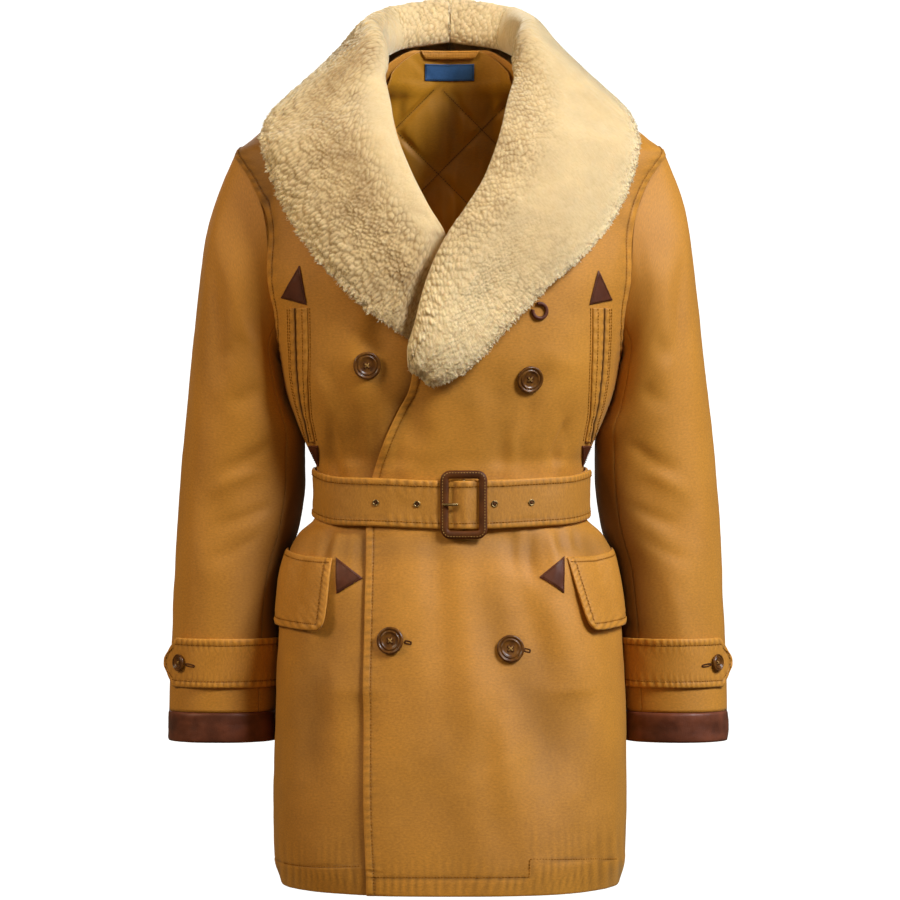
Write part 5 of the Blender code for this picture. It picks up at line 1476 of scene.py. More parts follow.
def fine_cuff_strap(name, side):
    runs = np.concatenate([np.linspace(STRAP_START, STRAP_LEAVES, 100), np.linspace(38.5, 0, 40)])
    free = np.maximum(STRAP_LEAVES - runs, 0) / STRAP_LEAVES * STRAP_FREE_LENGTH
    past = np.clip((free - (STRAP_FREE_LENGTH - STRAP_POINT_LENGTH)) / STRAP_POINT_LENGTH, 0, 1)
    half = CUFF_STRAP_WIDTH / 2 * (1 - 0.84 * past**1.15)
    wide = half[:, None] * np.linspace(-1, 1, 31)[None, :]
    run = runs[:, None] + 0 * wide
    along = np.where(run > STRAP_LEAVES, (STRAP_START - run) * 1.1, 145 + free[:, None]) + 0 * wide
    height, tone = topstitch(half[:, None] - np.abs(wide), along, 7.0, 0.5, 9)
    tip = np.exp(-(STRAP_FREE_LENGTH - free)[:, None] / 1.2)
    height = height + 0.5 * wander(flat_points(along, wide), 15, 12) - 0.7 * tip
    height = np.maximum(height, -1.2)
    z = CUFF_STRAP_Z + wide
    top, low = strap_point(run, z, STRAP_FACE + height, side), strap_point(run, z, RESTING_GAP, side)
    top, low = rested(top, low, [f"sleeve_top_{name}", f"sleeve_under_{name}"], 0.3)
    made = wall(f"cuff_strap_{name}", top, low, "canvas", "cloth", tone=tone + 0.2 * tip)
    way = unit(top - low)
    raised = top + STITCH_LIFT * way
    lines = [(raised[2:114, edge], way[2:114, edge]) for edge in (4, 26)]
    round_tip = [
        np.concatenate([field[112:132, 5], field[132, 6:26:4], field[131:111:-1, 25]])
        for field in (raised, way)
    ]
    stitches(f"stitching_cuff_strap_{name}", [*lines, round_tip])
    return made


# ---------------------------------------------------------------- what lies on the fronts
TAB_LOW, TAB_THICK, TAB_TONE = 0.5, 1.5, -0.28
TAB_POINT_SPACING = 1.1


def tab(name, side, base_a, base_b, apex):
    """A triangle of leather with worked edges: makes it, and returns its line of stitches."""
    base_a, base_b, apex = (np.array(p, float) for p in (base_a, base_b, apex))
    way = unit(base_b - base_a)
    a, b, c, d = base_a, base_b, apex + way * 0.5, apex - way * 0.5
    tall = max(np.linalg.norm(a - d), np.linalg.norm(b - c))
    wide = max(np.linalg.norm(a - b), np.linalg.norm(c - d))
    rows, columns = int(tall / TAB_POINT_SPACING) + 4, int(wide / TAB_POINT_SPACING) + 4
    down = np.linspace(0, 1, rows)[:, None, None]
    across = np.linspace(0, 1, columns)[None, :, None]
    grid = (a * (1 - across) + b * across) * (1 - down) + (d * (1 - across) + c * across) * down
    x, z = grid[..., 0], grid[..., 1]
    width = np.linalg.norm((b - a) * (1 - down) + (c - d) * down, axis=-1)
    away = np.minimum(across[..., 0], 1 - across[..., 0]) * width
    away = np.minimum(away, np.minimum(down[..., 0], 1 - down[..., 0]) * tall)
    height = -0.9 * np.exp(-away / 0.9) + 0.25 * wander(flat_points(x, z), 7, 3)
    tone = TAB_TONE + 0.3 * np.exp(-away / 0.8)
    top = fine_front(x, z, TAB_LOW + TAB_THICK + height, side)
    wall(name, top, fine_front(x, z, TAB_LOW, side), "leather", "leather", tone=tone)
    middle = (base_a + base_b + apex) / 3
    ring = [p + (middle - p) * 0.16 for p in (base_a, apex, base_b, base_a)]
    at, lift = even_path(ring, 1.5).T, TAB_LOW + TAB_THICK + STITCH_LIFT
    return stitch_line(lambda x, z, lift: fine_front(x, z, lift, side), at, lift)


def fine_hand_pocket(name, side, front):
    cloth_lines = []
    z = np.linspace(-243, -381, 90)[:, None]
    for part, first, second in (("inner", POCKET["inner"](z), -0.5), ("outer", 0.5, POCKET["outer"](z))):
        count = 14 if part == "inner" else 9
        share = np.linspace(0, 1, count)[None, :]
        x = POCKET["slit"](z) + mix(first, second, share)
        level = z + 0 * x
        near = np.minimum(share, 1 - share) * (second - first) + 0 * level
        wave = np.sin(level / 1.9 + 2 * np.sin(level / 23.0))
        wave *= 0.30 * np.exp(-((near - 2) / 2.5) ** 2)
        height = 0.9 * np.sqrt(np.clip(near / 3.0, 0, 1)) + wave - 0.4 * np.exp(-near / 0.8)
        by_slit = (second - first) * ((1 - share) if part == "inner" else share)
        # Painted shade in the slit and in the ripples' troughs, painted light on their crests; the welt's
        # edges paler.
        tone = 0.25 * np.exp(-near / 1.0) + 0.5 * wave - 1.3 * np.exp(-by_slit / 0.7)
        top, low = fine_front(x, level, 1.5 + height, side), fine_front(x, level, 0.35, side)
        made = wall(f"pocket_welt_{part}_{name}", top, low, "canvas", "cloth", tone=tone)
        way = unit(fine_front(x, level, 1.0, side) - fine_front(x, level, 0.0, side))
        at = 5 if part == "inner" else 6
        cloth_lines.append((top[:, at] + 0.2 * way[:, at], way[:, at]))
    for beyond, reach in ((2.0, POCKET["outer"](z[:, 0])), (-2.2, POCKET["inner"](z[:, 0]))):
        line = even_path(np.stack([POCKET["slit"](z[:, 0]) + reach + beyond, z[:, 0]], axis=-1), 3.0)
        cloth_lines.append(front_stitch_line(*line.T, side))
    stitches(f"stitching_pocket_{name}", cloth_lines)
    return [
        tab(f"pocket_tab_top_{name}", side, *POCKET_TOP_TAB[name]),
        tab(f"pocket_tab_bottom_{name}", side, *POCKET_BOTTOM_TAB),
    ]


def fine_hip_flap(name, side, top_x, bottom_x, kick):
    columns, rows = 90, 44
    shares = np.linspace(0, 1, columns) ** 1.15
    downs = np.linspace(0, 1, rows)
    turns, levels = np.zeros((rows, columns)), np.zeros((rows, columns))
    for j, share in enumerate(shares):
        reach = share * 150.0
        corner = max(0.0, FLAP_CORNER - reach)
        round_off = FLAP_CORNER - math.sqrt(FLAP_CORNER**2 - corner**2)
        top, bottom = FLAP_TOP_Z + 9 * share, FLAP_TOP_Z - FLAP_DEPTH + 6 * share + round_off
        z = top + (bottom - top) * downs
        front = turn_at_x(top_x + (bottom_x - top_x) * (FLAP_TOP_Z - z) / FLAP_DEPTH, z)
        behind = turn_at_y(2.0, z)
        for i in range(rows):
            some, run = body_run(front[i], behind[i], z[i])
            turns[i, j] = np.interp(share * run[-1], run, some)
        levels[:, j] = z
    layer = LAYER_AT[side]
    base = body_point(turns, levels)
    front_away = shares[None, :] * 100.0
    bottom_away = (1 - downs)[:, None] * FLAP_DEPTH
    away = np.minimum(front_away, bottom_away) + 0 * levels
    height, tone = topstitch(away, base[..., 0] - levels, FLAP_STITCH, 0.5, 4)
    band = downs[:, None] * FLAP_DEPTH + 0 * levels
    seam = np.exp(-((band - 5.5) ** 2))
    height += -0.5 * seam + 0.4 * ramp(band, 6.5, 4.5)
    tone += -0.35 * seam
    height += -1.5 * np.exp(-((band / 4.0) ** 2))
    height += 0.9 * wander(base, 26, 60 + side) + 0.35 * wander(base, 9, 62)
    lift = 0.7 + kick * downs[:, None] ** 1.5 * (1 - 0.6 * shares[None, :])
    detail = panel_relief(base, layer)[0] * 0.5
    top = on_body(side * turns, levels, lift + CLOTH + height + detail, layer)
    low = on_body(side * turns, levels, lift + 0.2 * height + detail, layer)
    top, low = rested(top, low, [layer], 0.3)
    made = wall(f"hip_flap_{name}", top, low, "canvas", "cloth", tone=tone)
    way = unit(top - low)
    raised = top + STITCH_LIFT * way
    inset = int(np.searchsorted(front_away[0], FLAP_STITCH))
    last = rows - 5
    lines = [
        (raised[4:last, inset], way[4:last, inset]),
        (raised[last, inset:80], way[last, inset:80]),
        (raised[3, 2:80], way[3, 2:80]),
    ]
    stitches(f"stitching_hip_flap_{name}", lines)
    tab_x = top_x - 3.0
    return made, tab(f"flap_tab_{name}", side, (tab_x, -501.5), (tab_x, -538.5), (91.5, -521.5))


# ---------------------------------------------------------------- shearling
def cells(p, q, size, seed):
    """How near a point lies to the middle of its curl (1 there, 0 at the crack between curls)."""
    spot = flat_points(p, q)
    p = p / size + 0.45 * wander(spot, size * 1.7, seed)
    q = q / size + 0.45 * wander(spot, size * 1.7, seed + 1)
    a, b = np.floor(p).astype(np.int64), np.floor(q).astype(np.int64)
    first, second = np.full(p.shape, 9.0), np.full(p.shape, 9.0)
    for i in (-1, 0, 1):
        for j in (-1, 0, 1):
            x, y = (a + i).astype(np.uint64), (b + j).astype(np.uint64)
            mixed = (x * np.uint64(73856093) ^ y * np.uint64(19349663)) + np.uint64(seed * 7919)
            mixed = (mixed ^ (mixed >> np.uint64(13))) * np.uint64(1274126177)
            off_x = ((mixed >> np.uint64(9)) & np.uint64(0x3FF)) / 1023.0
            off_y = ((mixed >> np.uint64(21)) & np.uint64(0x3FF)) / 1023.0
            away = np.hypot(a + i + 0.15 + 0.7 * off_x - p, b + j + 0.15 + 0.7 * off_y - q)
            second = np.where(away < first, first, np.minimum(second, away))
            first = np.minimum(first, away)
    return np.clip((second - first) * 1.5, 0, 1) ** 0.6 * np.clip(1.15 - first, 0, 1)


def locks(t, s, lean, size, aspect, seed):
    """The pile's locks, t across the collar and s along it, leaning that many degrees."""
    c, d = math.cos(math.radians(lean)), math.sin(math.radians(lean))
    return cells(s * c - t * d, (t * c + s * d) / aspect, size, seed)


def curl_of(name, distance, share, length):
    """How curly the pile is (0 brushed flat, 1 tight curls) over a collar piece."""
    spot = flat_points(distance, share * 170.0)
    patch_of = 0.5 + 0.5 * wander(spot, 34, 91)
    if name == "collar_under":
        curl = ramp(share, 0.12, 0.36) * (0.72 + 0.36 * patch_of)
    elif name == "collar_over":
        inner = ramp(share, 0.50, 0.10) * ramp(distance, 110, 230) * 0.85
        lower = ramp(distance, length - 230, length - 110) * 0.55
        edge = 0.45 * ramp(share, 0.80, 0.97)
        curl = np.maximum(np.maximum(inner, lower), edge) * (0.75 + 0.3 * patch_of) + 0.10 * patch_of
    else:
        curl = ramp(share, 0.62, 0.42) * 0.35 + 0.35 * patch_of + 0.1
    return np.clip(curl, 0.05, 1.05)


def hairs(name, root, way, reach, thick, deep, pale):
    """Fine pointed hairs as one mesh: each starts along way, then bends over by reach."""
    count = len(root)
    middle, tip = root + way * 0.5 + reach * 0.45, root + way * 0.62 + reach
    body_way = unit(tip - root)
    side_a = unit(np.cross(body_way, way + 0.013))
    side_b = np.cross(side_a, body_way)
    points = []
    for place, size in ((root - way * 0.3, 1.0), (middle, 0.85)):
        for turn in np.arange(3) * 2 * np.pi / 3:
            beside = side_a * math.cos(turn) + side_b * math.sin(turn)
            points.append(place + beside * (thick * size)[:, None])
    vertices = np.stack(points + [tip], axis=1).reshape(-1, 3)
    quads = [(k, (k + 1) % 3, (k + 1) % 3 + 3, k + 3) for k in range(3)]
    threes = [(3, 4, 6), (4, 5, 6), (5, 3, 6), (0, 2, 1)]
    base = np.arange(count)[:, None, None] * 7
    faces = (np.array(quads)[None] + base).reshape(-1, 4).tolist()
    faces += (np.array(threes)[None] + base).reshape(-1, 3).tolist()
    tones = np.stack([deep] * 3 + [(deep + pale) / 2] * 3 + [pale], axis=1)
    tones = np.clip(tones, 0, 1).ravel()
    return finish_piece(name, vertices, faces, "pile", "shearling", vertices[:, [0, 2]], tones)


# A collar piece's underside keeps every fourth point of its rows and columns.
LOW_STEP = 4
# How light each collar piece's pile is painted: a painted light level, not its dye.
PILE_LIT = {"collar_over": 0.54, "collar_under": 0.64, "collar_back": 0.74}


def fleece(name, lapel, layer, start, end, spacing, fuzz, fringe):
    """A collar piece: its skin in soft locks, with fine hairs all over it and a fringe at its edge."""
    at, length, neck_ends = collar_net(lapel, layer)
    mirrored = start < 0
    end = length if end is None else end

    def place(distance, share):
        """Centre, unit normal and half thickness of the pile, in the coat's own coordinates."""
        side = np.where(distance < 0, -1.0, 1.0)
        run = np.abs(distance) if mirrored else distance
        inside = np.clip(run, 1.0, length - 1.0)
        normal = outward(at, inside, np.clip(share, 0.01, 0.99), 1.0, 0.01)
        centre = at(run, share)
        pile = lapel_pile(centre[..., 0], centre[..., 2], layer)
        half = pile * pile_profile(share) / 2
        if not mirrored:
            half = half * (0.45 + 0.55 * ramp(length - run, 0, 14))
        near_middle = (np.abs(run) < 1.5)[..., None] * np.array([1, 0, 0]) * mirrored
        normal = unit(normal * (1 - near_middle))
        flip = np.stack([side * SIDES[layer], np.ones_like(side), np.ones_like(side)], axis=-1)
        return centre * flip, normal * flip, half

    across = run_along(at(np.full(40, (abs(start) + end) / 2), np.linspace(0, 1, 40)))[-1]
    rows = int((end - start) / spacing / LOW_STEP) * LOW_STEP + 1
    columns = int(across / spacing / LOW_STEP) * LOW_STEP + 1
    bare_end = 0.0 if mirrored else 4.0
    even = np.linspace(0, 1, columns)
    share = 0.75 * even + 0.25 * (1 - np.cos(np.pi * even)) / 2
    distance = np.linspace(start, end - bare_end, rows)
    distance, share = np.meshgrid(distance, 0.012 + share * 0.952, indexing="ij")
    centre, normal, half = place(distance, share)
    run = np.abs(distance) if mirrored else distance
    skins = ["back"] if mirrored else [layer, f"{layer}_beyond", "back"]
    lies = np.maximum(ramp(share, 0.5, 0.7), 0 if mirrored else ramp(run, neck_ends, neck_ends + 25))
    coarse = (slice(None, None, LOW_STEP), slice(None, None, LOW_STEP))
    low = centre - normal * (half * inside_the_roll(share, run, neck_ends))[..., None]
    shift = clear_shift(low[coarse], skins, 1.2, normal[coarse]) * lies[coarse]
    rows_at, columns_at = np.arange(rows), np.arange(columns)
    partial = np.stack([np.interp(columns_at, columns_at[::LOW_STEP], line) for line in shift])
    shift = at_run(rows_at, rows_at[::LOW_STEP], partial)
    centre = centre + normal * shift[..., None]
    low = low + normal * shift[..., None]

    # Locks lie along the collar near its roll, and turn outward and down towards its edge.
    outward_way, along_way = unit(np.gradient(centre, axis=1)), unit(np.gradient(centre, axis=0))
    if mirrored:
        along_way = along_way * np.sign(distance + 1e-6)[..., None]
    spot = flat_points(run, share * across)
    steps = np.linalg.norm(np.diff(centre, axis=1), axis=-1)
    t = np.concatenate([np.zeros((rows, 1)), np.cumsum(steps, axis=1)], axis=1)
    signed = distance if mirrored else run
    seed = 100 + len(name)
    near_roll, near_edge = ramp(share, 0.46, 0.26), ramp(share, 0.58, 0.80)
    size = 3.5 if name == "collar_over" else 4.1
    small = locks(t, signed, 40, size, 1.2, seed)
    small = mix(small, locks(t, signed, 62, size * 1.08, 1.9, seed + 3), near_roll)
    small = mix(small, locks(t, signed, 18, size, 2.4, seed + 5), near_edge)
    big = locks(t, signed, 35, 12.0, 1.5, seed + 9)
    to_end = 0 if mirrored else ramp(run, end - 70, end - 10)
    swing = 0.35 * wander(spot, 48, 61)
    sideways = 0.4 + swing + 1.2 * near_roll + 1.4 * to_end
    nap = unit(outward_way * (1.15 - near_roll)[..., None] + along_way * sideways[..., None])
    behind = 0.8 * ramp(centre[..., 1], 66, 92) * ramp(share, 0.35, 0.55)
    curl = np.maximum(curl_of(name, run, share, length), behind)
    room = ramp(half, 1.2, 6.0)
    cover = np.minimum(0.9 + 1.9 * curl, half * 0.7)
    height = curl * (1.7 * small + 1.3 * big - 0.7)
    height = height + 0.9 * wander(spot, 26, 44) + 0.28 * wander(spot, 7, 45)
    skin = centre + normal * (half - cover + height * room)[..., None]
    skin += nap * (curl * (0.35 + 0.65 * room) * (1.3 * small + 0.6 * big))[..., None]
    border = ramp(share, 0.90, 0.97)
    if not mirrored:
        border = np.maximum(border, ramp(run, end - 14, end - 6))
    skin += nap * (border * (2.6 * small + 0.9 * wander(spot, 6, 47) - 0.8))[..., None]
    crack = np.clip(1 - small / 0.48, 0, 1) ** 1.3
    # The pile's tone is largely painted light and shade: each piece's own painted light level, lighter
    # towards the outer edge and down the over lapel's lower end, darker in the cracks between locks and
    # between the larger locks (partly darker roots, partly painted shade), and a painted shade down the
    # under lapel's middle.
    lit = PILE_LIT[name] + 0.20 * ramp(share, 0.80, 0.95)
    if name == "collar_over":
        lit = np.maximum(lit, 0.54 + 0.46 * ramp(run, length - 180, length - 80))
    shade = lit - curl * (1.0 * crack + 0.28 * (1 - big) ** 2)
    if name == "collar_under":
        middle_shade = np.exp(-(((share - 0.46) / 0.19) ** 2))
        shade -= 0.40 * middle_shade * (0.8 + 0.5 * wander(spot, 40, 48))
    shade = np.clip(shade + 0.04 * wander(spot, 9, 46) + 0.35 * ramp(share, 0.86, 0.97), 0, 1)
    uv = np.stack([signed - 0.5 * t, t], axis=-1)
    made = wall(name, skin, low, "pile", "shearling", tone=shade, uv=uv, every=LOW_STEP)

    rng = np.random.default_rng(len(name) * 7 + 3)
    i = rng.uniform(0, 1, fuzz + fringe) * (rows - 1)
    j = rng.uniform(0, 1, fuzz + fringe) ** 0.85 * (columns - 1)
    j[fuzz:] = (1 - 0.10 * rng.uniform(0, 1, fringe) ** 0.8) * (columns - 1)
    if not mirrored:
        tip = np.arange(fuzz, fuzz + fringe, 6)
        i[tip] = (1 - 0.045 * rng.uniform(0, 1, len(tip))) * (rows - 1)
        j[tip] = rng.uniform(0.05, 1, len(tip)) * (columns - 1)
    a, b = np.clip(i.astype(int), 0, rows - 2), np.clip(j.astype(int), 0, columns - 2)

    def sample(field):
        u, v = (i - a)[:, None], (j - b)[:, None]
        return (
            field[a, b] * (1 - u) * (1 - v) + field[a + 1, b] * u * (1 - v)
            + field[a, b + 1] * (1 - u) * v + field[a + 1, b + 1] * u * v
        )

    edge, tone = border[a, b], shade[a, b]
    lift = unit(sample(normal)) * (1 - 0.6 * edge)[:, None]
    lift = unit(lift + unit(sample(outward_way)) * (0.8 * edge)[:, None])
    flow = unit(unit(sample(nap)) + 0.45 * rng.normal(0, 1, (len(i), 3)))
    long = (1.5 + 2.0 * edge) * rng.uniform(0.6, 1.25, len(i)) * (0.65 + 0.35 * curl[a, b])
    pale = np.minimum(tone + 0.15, 1.0) + rng.uniform(-0.03, 0.03, len(i))
    return made, hairs(
        f"{name}_pile", sample(skin), lift * (long * 0.45)[:, None], flow * (long * 0.75)[:, None],
        0.26 + 0.20 * edge, tone, pale,
    )


# ---------------------------------------------------------------- belt
def belt_run_at(x):
    """The belt's run in degrees where it crosses an x on the front."""
    return math.degrees(float(turn_at_x(x, BELT_FRONT_Z)))


def fine_belt():
    start = belt_run_at(18.5)
    round_body = np.arange(30, 330, 1.5)
    bridge = np.array([belt_run_at(x) for x in np.arange(-64, 31, 1.5)])
    second = np.arange(bridge[-1] + 0.8, BELT_TIP_TURN, 1.2)
    runs = np.concatenate([[start], np.arange(start + 0.6, 30, 1.0), round_body, 360 + bridge, 360 + second])
    run, share = np.meshgrid(runs, np.linspace(-1, 1, 25), indexing="ij")
    narrow = 1 - 0.55 * ramp(run, 360 + BELT_TIP_TURN - 22, 360 + BELT_TIP_TURN)
    top, low = belt_surface(run, share * narrow, BELT_CLOTH), belt_surface(run, share * narrow, 0.0)
    away = (top - low) / BELT_CLOTH
    resting = belt_surface(run, share, belt_height(run % 360) - belt_height(run))
    shift = clear_shift(resting[:, ::4], ["over", "under", "back"], 1.0, away[:, :1])
    padded = np.pad(np.max(shift, axis=1), 6, mode="edge")
    shift = np.convolve(padded, np.ones(13) / 13, mode="same")[6:-6][:, None, None] * away
    edge = (1 - np.abs(share)) * BELT_WIDTH / 2 * narrow
    along = run_along(top[:, 12])[:, None] + 0 * share
    height, tone = topstitch(edge, along, 7.0, 0.45, 2)
    spot = flat_points(along, share * BELT_WIDTH / 2)
    height += 0.7 * wander(spot, 24, 71) + 0.3 * wander(spot, 8, 72)
    sag = 1.2 * wander(spot * (1, 0, 0), 60, 73)[..., None] * np.array([0, 0, 1])
    top = top + shift + away * height[..., None] + sag
    low = low + shift + sag + away * (0.3 * np.minimum(height, 0))[..., None]
    keep_skin("belt", top)
    made = wall("belt", top, low, "canvas", "cloth", tone=tone - 0.20)
    raised = top + STITCH_LIFT * away
    stitches("stitching_belt", [(raised[4:, column], away[4:, column]) for column in (3, 21)])
    return made


def fine_buckle():
    middle, across, up, out = buckle_place()
    outline = rounded_rectangle(BUCKLE_HALF_WIDTH, BUCKLE_HALF_HEIGHT, BUCKLE_CORNER, 9)
    path = even_path(np.concatenate([outline, outline[:1]]), 1.4)[:-1]
    tangent = unit(np.roll(path, -1, axis=0) - np.roll(path, 1, axis=0))
    ways = np.stack([tangent[:, 1], -tangent[:, 0]], axis=-1)
    ways *= np.sign(np.sum(ways * path, axis=-1, keepdims=True))
    places = middle + path[:, :1] * across + path[:, 1:] * up
    sides = ways[:, :1] * across + ways[:, 1:] * up
    wrinkles = 1 + 0.04 * wander(places, 6, 51)
    vertices, faces = swept(places, sides, out, BUCKLE_TUBE_WIDE, BUCKLE_TUBE_THICK, 20, True, wrinkles)
    away = np.tile(np.abs(np.cos(np.arange(20) * 2 * np.pi / 20)), len(path))
    tone = 0.5 * away**6 - 0.1
    made = finish_piece("buckle_fine", vertices, faces, "strap_leather", "leather", tone=tone)
    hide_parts("buckle")
    line = places + sides * 1.9 + out * (BUCKLE_TUBE_THICK * 0.93)
    line = np.concatenate([line, line[:1]])
    lines = [(line, np.tile(out, (len(line), 1)))]
    stitches("stitching_buckle", lines, "ochre_thread", "leather", pitch=3.0, length=2.0, thread=0.36)
    reach = BUCKLE_HALF_HEIGHT - BUCKLE_TUBE_WIDE - 0.4
    inside = face_y("belt", middle[0], middle[2]) + BELT_CLOTH
    bar_middle = np.array([middle[0], inside + GAP + BUCKLE_BAR_RADIUS + 0.4, middle[2]])
    bar = np.linspace(bar_middle - up * reach, bar_middle + up * reach, 12)
    tube("buckle_bar", bar, across, out, BUCKLE_BAR_RADIUS, BUCKLE_BAR_RADIUS, 16, "brass", "brass")
    start = np.array([8.0, face_y("belt", 8.0, middle[2]) - 1.9, middle[2]])
    rest = middle - across * (BUCKLE_HALF_WIDTH - 3.0) + out * (BUCKLE_TUBE_THICK + 1.6)
    tip = middle - across * (BUCKLE_HALF_WIDTH + 2.5) + out * (BUCKLE_TUBE_THICK + 1.4)
    rise = (start + rest) / 2 + out * 0.8
    share = np.linspace(0, 3, 28)
    prong = at_run(share, range(4), np.array([start, rise, rest, tip]))
    taper = 1 - 0.35 * ramp(share, 2.0, 3.0) - 0.3 * ramp(share, 2.85, 3.0)
    tube("buckle_prong", prong, up, out, 1.45, 1.1, 14, "brass", "brass", taper=taper)


def turned(centre, across, up, out, profile, sides):
    """Points and faces of a turned ring or disc from (radius, height) rows."""
    vertices, faces, loops = [], [], []
    turns = np.arange(sides) * 2 * np.pi / sides
    for radius, height in profile:
        loops.append(list(range(len(vertices), len(vertices) + (sides if radius > 1e-6 else 1))))
        if radius < 1e-6:
            vertices.append(centre + out * height)
            continue
        for t in turns:
            vertices.append(centre + out * height + radius * (math.cos(t) * across + math.sin(t) * up))
    ends_meet = profile[0][0] > 1e-6 and profile[-1][0] > 1e-6
    if ends_meet:
        loops.append(loops[0])
    for a, b in zip(loops, loops[1:]):
        for j in range(sides):
            k = (j + 1) % sides
            corners = (a[j % len(a)], a[k % len(a)], b[k % len(b)], b[j % len(b)])
            faces.append(list(dict.fromkeys(corners)))
    vertices = np.array(vertices)
    return vertices, facing_out(vertices, faces)


# Radius and height of the points that an eyelet's ring is turned from, and the dark disc of painted shade
# that fills its hole.
EYELET_RING = ((3.5, 0.1), (3.45, 0.55), (3.0, 0.95), (2.5, 0.9), (2.1, 0.5), (1.9, 0.1))
EYELET_HOLE_SHADE = ((0.0, 0.75), (2.0, 0.7), (2.0, 0.2), (0.0, 0.2))


def fine_eyelets():
    for number, x in enumerate(EYELETS_X, 1):
        z = float(belt_middle(belt_run_at(abs(x))))

        def surface(u, v, x=x, z=z):
            return np.array([x + u, face_y("belt", x + u, z + v), z + v])

        centre, across, up, out = seat_on(surface, 3.6)
        ring = turned(centre, across, up, out, EYELET_RING, 32)
        made = finish_piece(f"eyelet_{number}_fine", *ring, "brass", "brass")
        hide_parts(f"eyelet_{number}")
        # The hole is a dark disc: painted shade, not a real opening.
        hole = turned(centre - out * 0.5, across, up, out, EYELET_HOLE_SHADE, 20)
        finish_piece(f"eyelet_{number}_hole", *hole, "dark_thread", "cloth")


BELT_LOOP_RUN = 127.0


def fine_belt_loops():
    ends = np.linspace(1.14, 1.36, 9)
    shares = np.concatenate([-ends[::-1], np.linspace(-1.1, 1.1, 24), ends])
    heights = BELT_CLOTH + RESTING_GAP + 1.6 - 17.0 * ramp(np.abs(shares), 1.1, 1.3)
    loops = []
    for name, side in SIDES.items():
        run, share = np.meshgrid(side * BELT_LOOP_RUN + np.linspace(-2.5, 2.5, 9), shares)
        rise = np.repeat(heights[:, None], 9, axis=1)
        crown = 0.4 * (1 - ((run - side * BELT_LOOP_RUN) / 2.5) ** 2)
        top, low = belt_surface(run, share, rise + 1.6 + crown), belt_surface(run, share, rise)
        top, low = rested(top, low, ["back"], 0.4)
        loops.append(wall(f"belt_loop_{name}", top, low, "canvas", "cloth"))
    return loops


# ---------------------------------------------------------------- buttons
# Radius and height, as shares of a button's own, of the points that its face and edge are turned from.
BUTTON_ROWS = (
    (0.0, 0.50), (0.30, 0.50), (0.46, 0.53), (0.55, 0.62), (0.60, 0.80), (0.645, 0.86), (0.69, 0.80),
    (0.72, 0.66), (0.76, 0.66), (0.80, 0.84), (0.86, 0.99), (0.92, 0.98), (0.97, 0.84), (1.0, 0.60),
    (0.98, 0.35), (0.88, 0.12), (0.62, 0.0), (0.0, 0.0),
)


def fine_button(name, centre, across, up, out, radius):
    """A turned coat button: two rims, a sunken face, four holes and crossed thread."""
    thick = 0.13 * radius + 2.2
    rows = [(share * radius, level * thick) for share, level in BUTTON_ROWS]
    made = finish_piece(f"{name}_fine", *turned(centre, across, up, out, rows, 56), "horn", "horn")
    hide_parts(name)
    face = centre + out * 0.505 * thick
    # The four holes are dark plugs set on the face: painted shade in place of real holes.
    hole = 0.12 * radius
    rows = [(0.0, 0.08), (hole, 0.06), (hole, -0.3), (0.0, -0.3)]
    corners = ((1, 1), (-1, 1), (-1, -1), (1, -1))
    spots = [0.15 * radius * (sx * across + sz * up) for sx, sz in corners]
    holes = joined([turned(face + spot, across, up, out, rows, 16) for spot in spots])
    finish_piece(f"{name}_holes", *holes, "dark_thread", "horn")
    threads = []
    for a, b, lift in ((spots[0], spots[2], 0.35), (spots[1], spots[3], 0.75)):
        side = np.cross(out, unit(b - a))
        steps = ((a, -0.2), (a * 0.7, lift), (0 * a, lift + 0.25), (b * 0.7, lift), (b, -0.2))
        for offset in (-0.35, 0.35):
            path = np.array([face + at + side * offset + out * rise for at, rise in steps])
            threads.append(swept(path, side, out, 0.36, 0.34, 8))
    finish_piece(f"{name}_thread", *joined(threads), "ochre_thread", "cloth")


BUTTONHOLE_POINTS = 60


def buttonhole(name, surface, start, end, half=1.5):
    """A worked buttonhole: a thread border round a slit, from start to end in the surface's own (u, v)."""
    start, end = np.array(start, float), np.array(end, float)
    reach = np.linalg.norm(end - start) / 2
    way = unit(end - start)
    side = np.array([-way[1], way[0]])
    ring = []
    for t in np.linspace(0, 2 * np.pi, BUTTONHOLE_POINTS + 1)[:-1]:
        stretch = max(-reach, min(reach, math.cos(t) * (reach + half)))
        ring.append((start + end) / 2 + way * stretch + side * half * math.sin(t))
    points = np.array([surface(u, v) for u, v in ring])
    lift = unit(np.cross(surface(1.0, 0.0) - surface(0.0, 0.0), surface(0.0, 1.0) - surface(0.0, 0.0)))
    if lift[1] > 0.2:
        lift = -lift
    across = np.cross(unit(np.roll(points, -1, axis=0) - np.roll(points, 1, axis=0)), lift)
    ridges = 1 + 0.18 * np.tile([1, -1], BUTTONHOLE_POINTS // 2)
    border = swept(points + lift * 0.15, across, lift, 0.75, 0.55, 8, True, ridges)
    finish_piece(name, *border, "dark_thread", "cloth")


